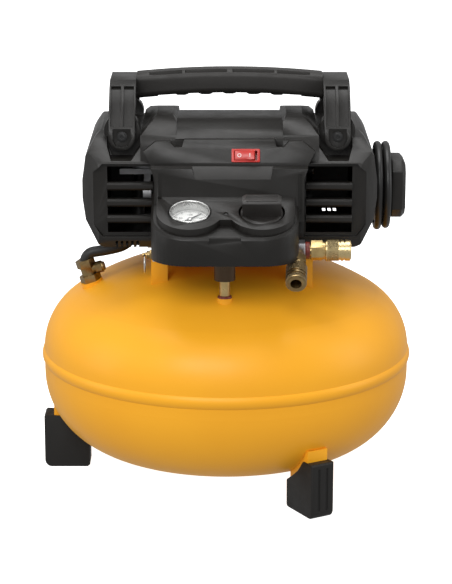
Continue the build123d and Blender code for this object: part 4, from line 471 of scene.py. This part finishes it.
# ---------------------------------------------------------------- the console's deck
DECK_TILT = math.radians(19.0)
DECK_Y, DECK_Z = -166.0, 337.4
GAUGE_X = -38.0
DECK_UP = Vector((0, math.cos(DECK_TILT), math.sin(DECK_TILT)))
DECK_NORMAL = Vector((0, -math.sin(DECK_TILT), math.cos(DECK_TILT)))
RIGHT = Vector((1, 0, 0))


def on_deck(x, right=0.0, up=0.0, lift=0.0):
    return Vector((x, DECK_Y, DECK_Z)) + RIGHT * right + DECK_UP * up + DECK_NORMAL * lift


# ---------------------------------------------------------------- gauge and its dial
DIAL_START, DIAL_SWEEP = 225.0, 270.0


def dial_heading(share):
    """The needle's direction on the dial, from zero at the lower left to full scale at the lower right."""
    angle = math.radians(DIAL_START - DIAL_SWEEP * share)
    return RIGHT * math.cos(angle) + DECK_UP * math.sin(angle)


def gauge_case(shape):
    stem = [(0, -47), (5, -47), (5, -34), (6.8, -34), (6.8, -27), (5, -27), (5, -22)]
    back = [(16, -22), (19.5, -20.4), (22, -17)]
    rim = [(22, 0.2), (21.7, 0.9), (21.1, 1.4), (20.2, 1.4), (19.7, 1.1), (19.5, 0.6)]
    floor_of_cup = [(19.5, -11.5), (0, -11.5)]
    lathe(shape, on_deck(GAUGE_X), DECK_NORMAL, stem + back + rim + floor_of_cup)


case = mesh_piece("gauge_housing", gauge_case, gauge_steel)
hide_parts("gauge_case")
edges = case.modifiers.new("edges", "EDGE_SPLIT")
edges.split_angle = math.radians(40)

PRINT_LIFT, PRINT_HALF = -10.42, 0.06
DIVISIONS, DIVISIONS_PER_MAJOR = 40, 5
MAJOR_TICK, MINOR_TICK = (1.7, 0.26), (0.8, 0.12)  # half length and half width
TICKS_OUTER = 17.6
FULL_SCALE, NUMBER_EVERY = 200, 50
NUMBER_SIZE, NUMBER_RADIUS = 4.2, 10.6


def dial_ticks(shape):
    for tick in range(DIVISIONS + 1):
        heading = dial_heading(tick / DIVISIONS)
        across = DECK_NORMAL.cross(heading)
        length, width = MINOR_TICK if tick % DIVISIONS_PER_MAJOR else MAJOR_TICK
        centre = on_deck(GAUGE_X, lift=PRINT_LIFT) + heading * (TICKS_OUTER - length)
        slab(shape, centre, heading * length, across * width, DECK_NORMAL * PRINT_HALF)


def dial_band(shape, low, high, sweep, around):
    """A flat printed band between two radii, from full scale back over some degrees."""
    outline = [(low, -PRINT_HALF), (high, -PRINT_HALF), (high, PRINT_HALF), (low, PRINT_HALF)]
    start = math.radians(DIAL_START - DIAL_SWEEP)
    centre = on_deck(GAUGE_X, lift=PRINT_LIFT)
    lathe(shape, centre, DECK_NORMAL, outline, around, start, math.radians(sweep))


def dial_arc(shape):
    dial_band(shape, 17.7, 18.0, DIAL_SWEEP, 64)


def dial_limit(shape):
    dial_band(shape, 12.6, 13.5, 48, 24)


mesh_piece("dial_ticks", dial_ticks, print_black, smooth=False)
mesh_piece("dial_arc", dial_arc, print_black, smooth=False)
mesh_piece("dial_limit_band", dial_limit, print_red, smooth=False)

for number in range(0, FULL_SCALE + 1, NUMBER_EVERY):
    text = bpy.data.curves.new(f"dial_number_{number}", "FONT")
    text.body = str(number)
    text.size = NUMBER_SIZE * MM
    text.extrude = 0.05 * MM
    text.align_x, text.align_y = "CENTER", "CENTER"
    holder = bpy.data.objects.new("holder", text)
    numeral = bpy.data.objects.new(f"dial_number_{number}", bpy.data.meshes.new_from_object(holder))
    bpy.data.objects.remove(holder)
    centre = on_deck(GAUGE_X, lift=PRINT_LIFT) + dial_heading(number / FULL_SCALE) * NUMBER_RADIUS
    for vertex in numeral.data.vertices:
        flat = vertex.co.copy()
        vertex.co = centre * MM + RIGHT * flat.x + DECK_UP * flat.y + DECK_NORMAL * flat.z
    numeral.data.materials.clear()
    numeral.data.materials.append(print_black)
    bpy.context.scene.collection.objects.link(numeral)
    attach(numeral, "frame")


HUB_LIFT = -9.6


def needle_hub(shape):
    outline = [(0, 0), (2.5, 0), (2.5, 1.2), (2.1, 1.7), (0, 1.9)]
    lathe(shape, on_deck(GAUGE_X, lift=HUB_LIFT), DECK_NORMAL, outline, 40)


mesh_piece("needle_hub", needle_hub, gauge_steel, "needle")

# ---------------------------------------------------------------- rocker marks
SWITCH_CENTRE = Vector((21.0, -118.5, 387.4))
SWITCH_LEAN = math.acos(21.0 / math.hypot(21.0, 10.0))
SWITCH_NORMAL = Vector((0, -math.cos(SWITCH_LEAN), math.sin(SWITCH_LEAN)))
SWITCH_UP = Vector((0, math.sin(SWITCH_LEAN), math.cos(SWITCH_LEAN)))
ROCKER_TILT = math.radians(-8.0)
PIVOT_DEPTH = -5.0
ROCKER_HALF, ROCKER_PROUD, ROCKER_RISE = 10.5, 3.0, 1.4
MARK_OFFSET = 5.6


def on_rocker(x, proud):
    """A point over the rocker's face, whose ends rise above its middle, with the rocker at rest."""
    face = ROCKER_PROUD + ROCKER_RISE * abs(x) / ROCKER_HALF + proud - PIVOT_DEPTH
    across = x * math.cos(ROCKER_TILT) + face * math.sin(ROCKER_TILT)
    out = -x * math.sin(ROCKER_TILT) + face * math.cos(ROCKER_TILT) + PIVOT_DEPTH
    return SWITCH_CENTRE + RIGHT * across + SWITCH_NORMAL * out


def rocker_marks(shape):
    slab(shape, on_rocker(MARK_OFFSET, 0.05), RIGHT * 0.35, SWITCH_UP * 2.0, SWITCH_NORMAL * 0.16)
    facing = SWITCH_UP.cross(on_rocker(-ROCKER_HALF, 0) - on_rocker(-MARK_OFFSET, 0))
    ring = [(1.5, -0.1), (2.1, -0.1), (2.1, 0.2), (1.5, 0.2)]
    lathe(shape, on_rocker(-MARK_OFFSET, 0.0), facing, ring, 32)


mesh_piece("rocker_marks", rocker_marks, print_white, "rocker", smooth=False)


# ---------------------------------------------------------------- the screw between gauge and knob
def console_screw(shape):
    outline = [(0, 0), (2.4, 0), (2.4, 0.5), (1.9, 1.0), (0, 1.2)]
    lathe(shape, on_deck(0, up=-3, lift=-1.8), DECK_NORMAL, outline, 32)


mesh_piece("console_screw", console_screw, motor_paint)

# ---------------------------------------------------------------- stage and light
STAGE_HALF = 9
floor_mesh = bpy.data.meshes.new("floor")
corners = [(STAGE_HALF * x, STAGE_HALF * y, 0) for x, y in ((-1, -1), (1, -1), (1, 1), (-1, 1))]
floor_mesh.from_pydata(corners, [], [(0, 1, 2, 3)])
floor = bpy.data.objects.new("floor", floor_mesh)
bpy.context.scene.collection.objects.link(floor)
floor_material, _, floor_shader = node_tree("floor")
floor_shader.inputs["Base Color"].default_value = (0.84, 0.84, 0.84, 1)
floor_shader.inputs["Roughness"].default_value = 0.9
floor_shader.inputs["Specular IOR Level"].default_value = 0.1
floor_shader.inputs["Emission Color"].default_value = (1, 1, 1, 1)
floor_shader.inputs["Emission Strength"].default_value = 1.0
floor_mesh.materials.append(floor_material)
floor.visible_diffuse = False
floor.visible_glossy = False


def area_light(name, place, aim_height, size, power):
    """A rectangular lamp that faces a point over the origin."""
    data = bpy.data.lights.new(name, "AREA")
    data.shape = "RECTANGLE"
    data.size, data.size_y = size
    data.energy = power
    lamp = bpy.data.objects.new(name, data)
    lamp.location = place
    lamp.rotation_euler = (Vector((0, 0, aim_height)) - Vector(place)).to_track_quat("-Z", "Y").to_euler()
    bpy.context.scene.collection.objects.link(lamp)


area_light("overhead", (0.0, 0.1, 2.5), 0.2, (2.0, 1.5), 34)
area_light("key", (-0.5, -2.3, 1.8), 0.2, (1.8, 1.0), 42)
area_light("left_strip", (-2.3, -0.4, 0.9), 0.25, (0.8, 1.6), 9)
area_light("right_strip", (2.3, -0.2, 1.0), 0.25, (0.8, 1.6), 11)

world = bpy.data.worlds.new("world")
bpy.context.scene.world = world
world.use_nodes = True
world.node_tree.nodes["Background"].inputs["Color"].default_value = (1, 1, 1, 1)
world.node_tree.nodes["Background"].inputs["Strength"].default_value = 0.50
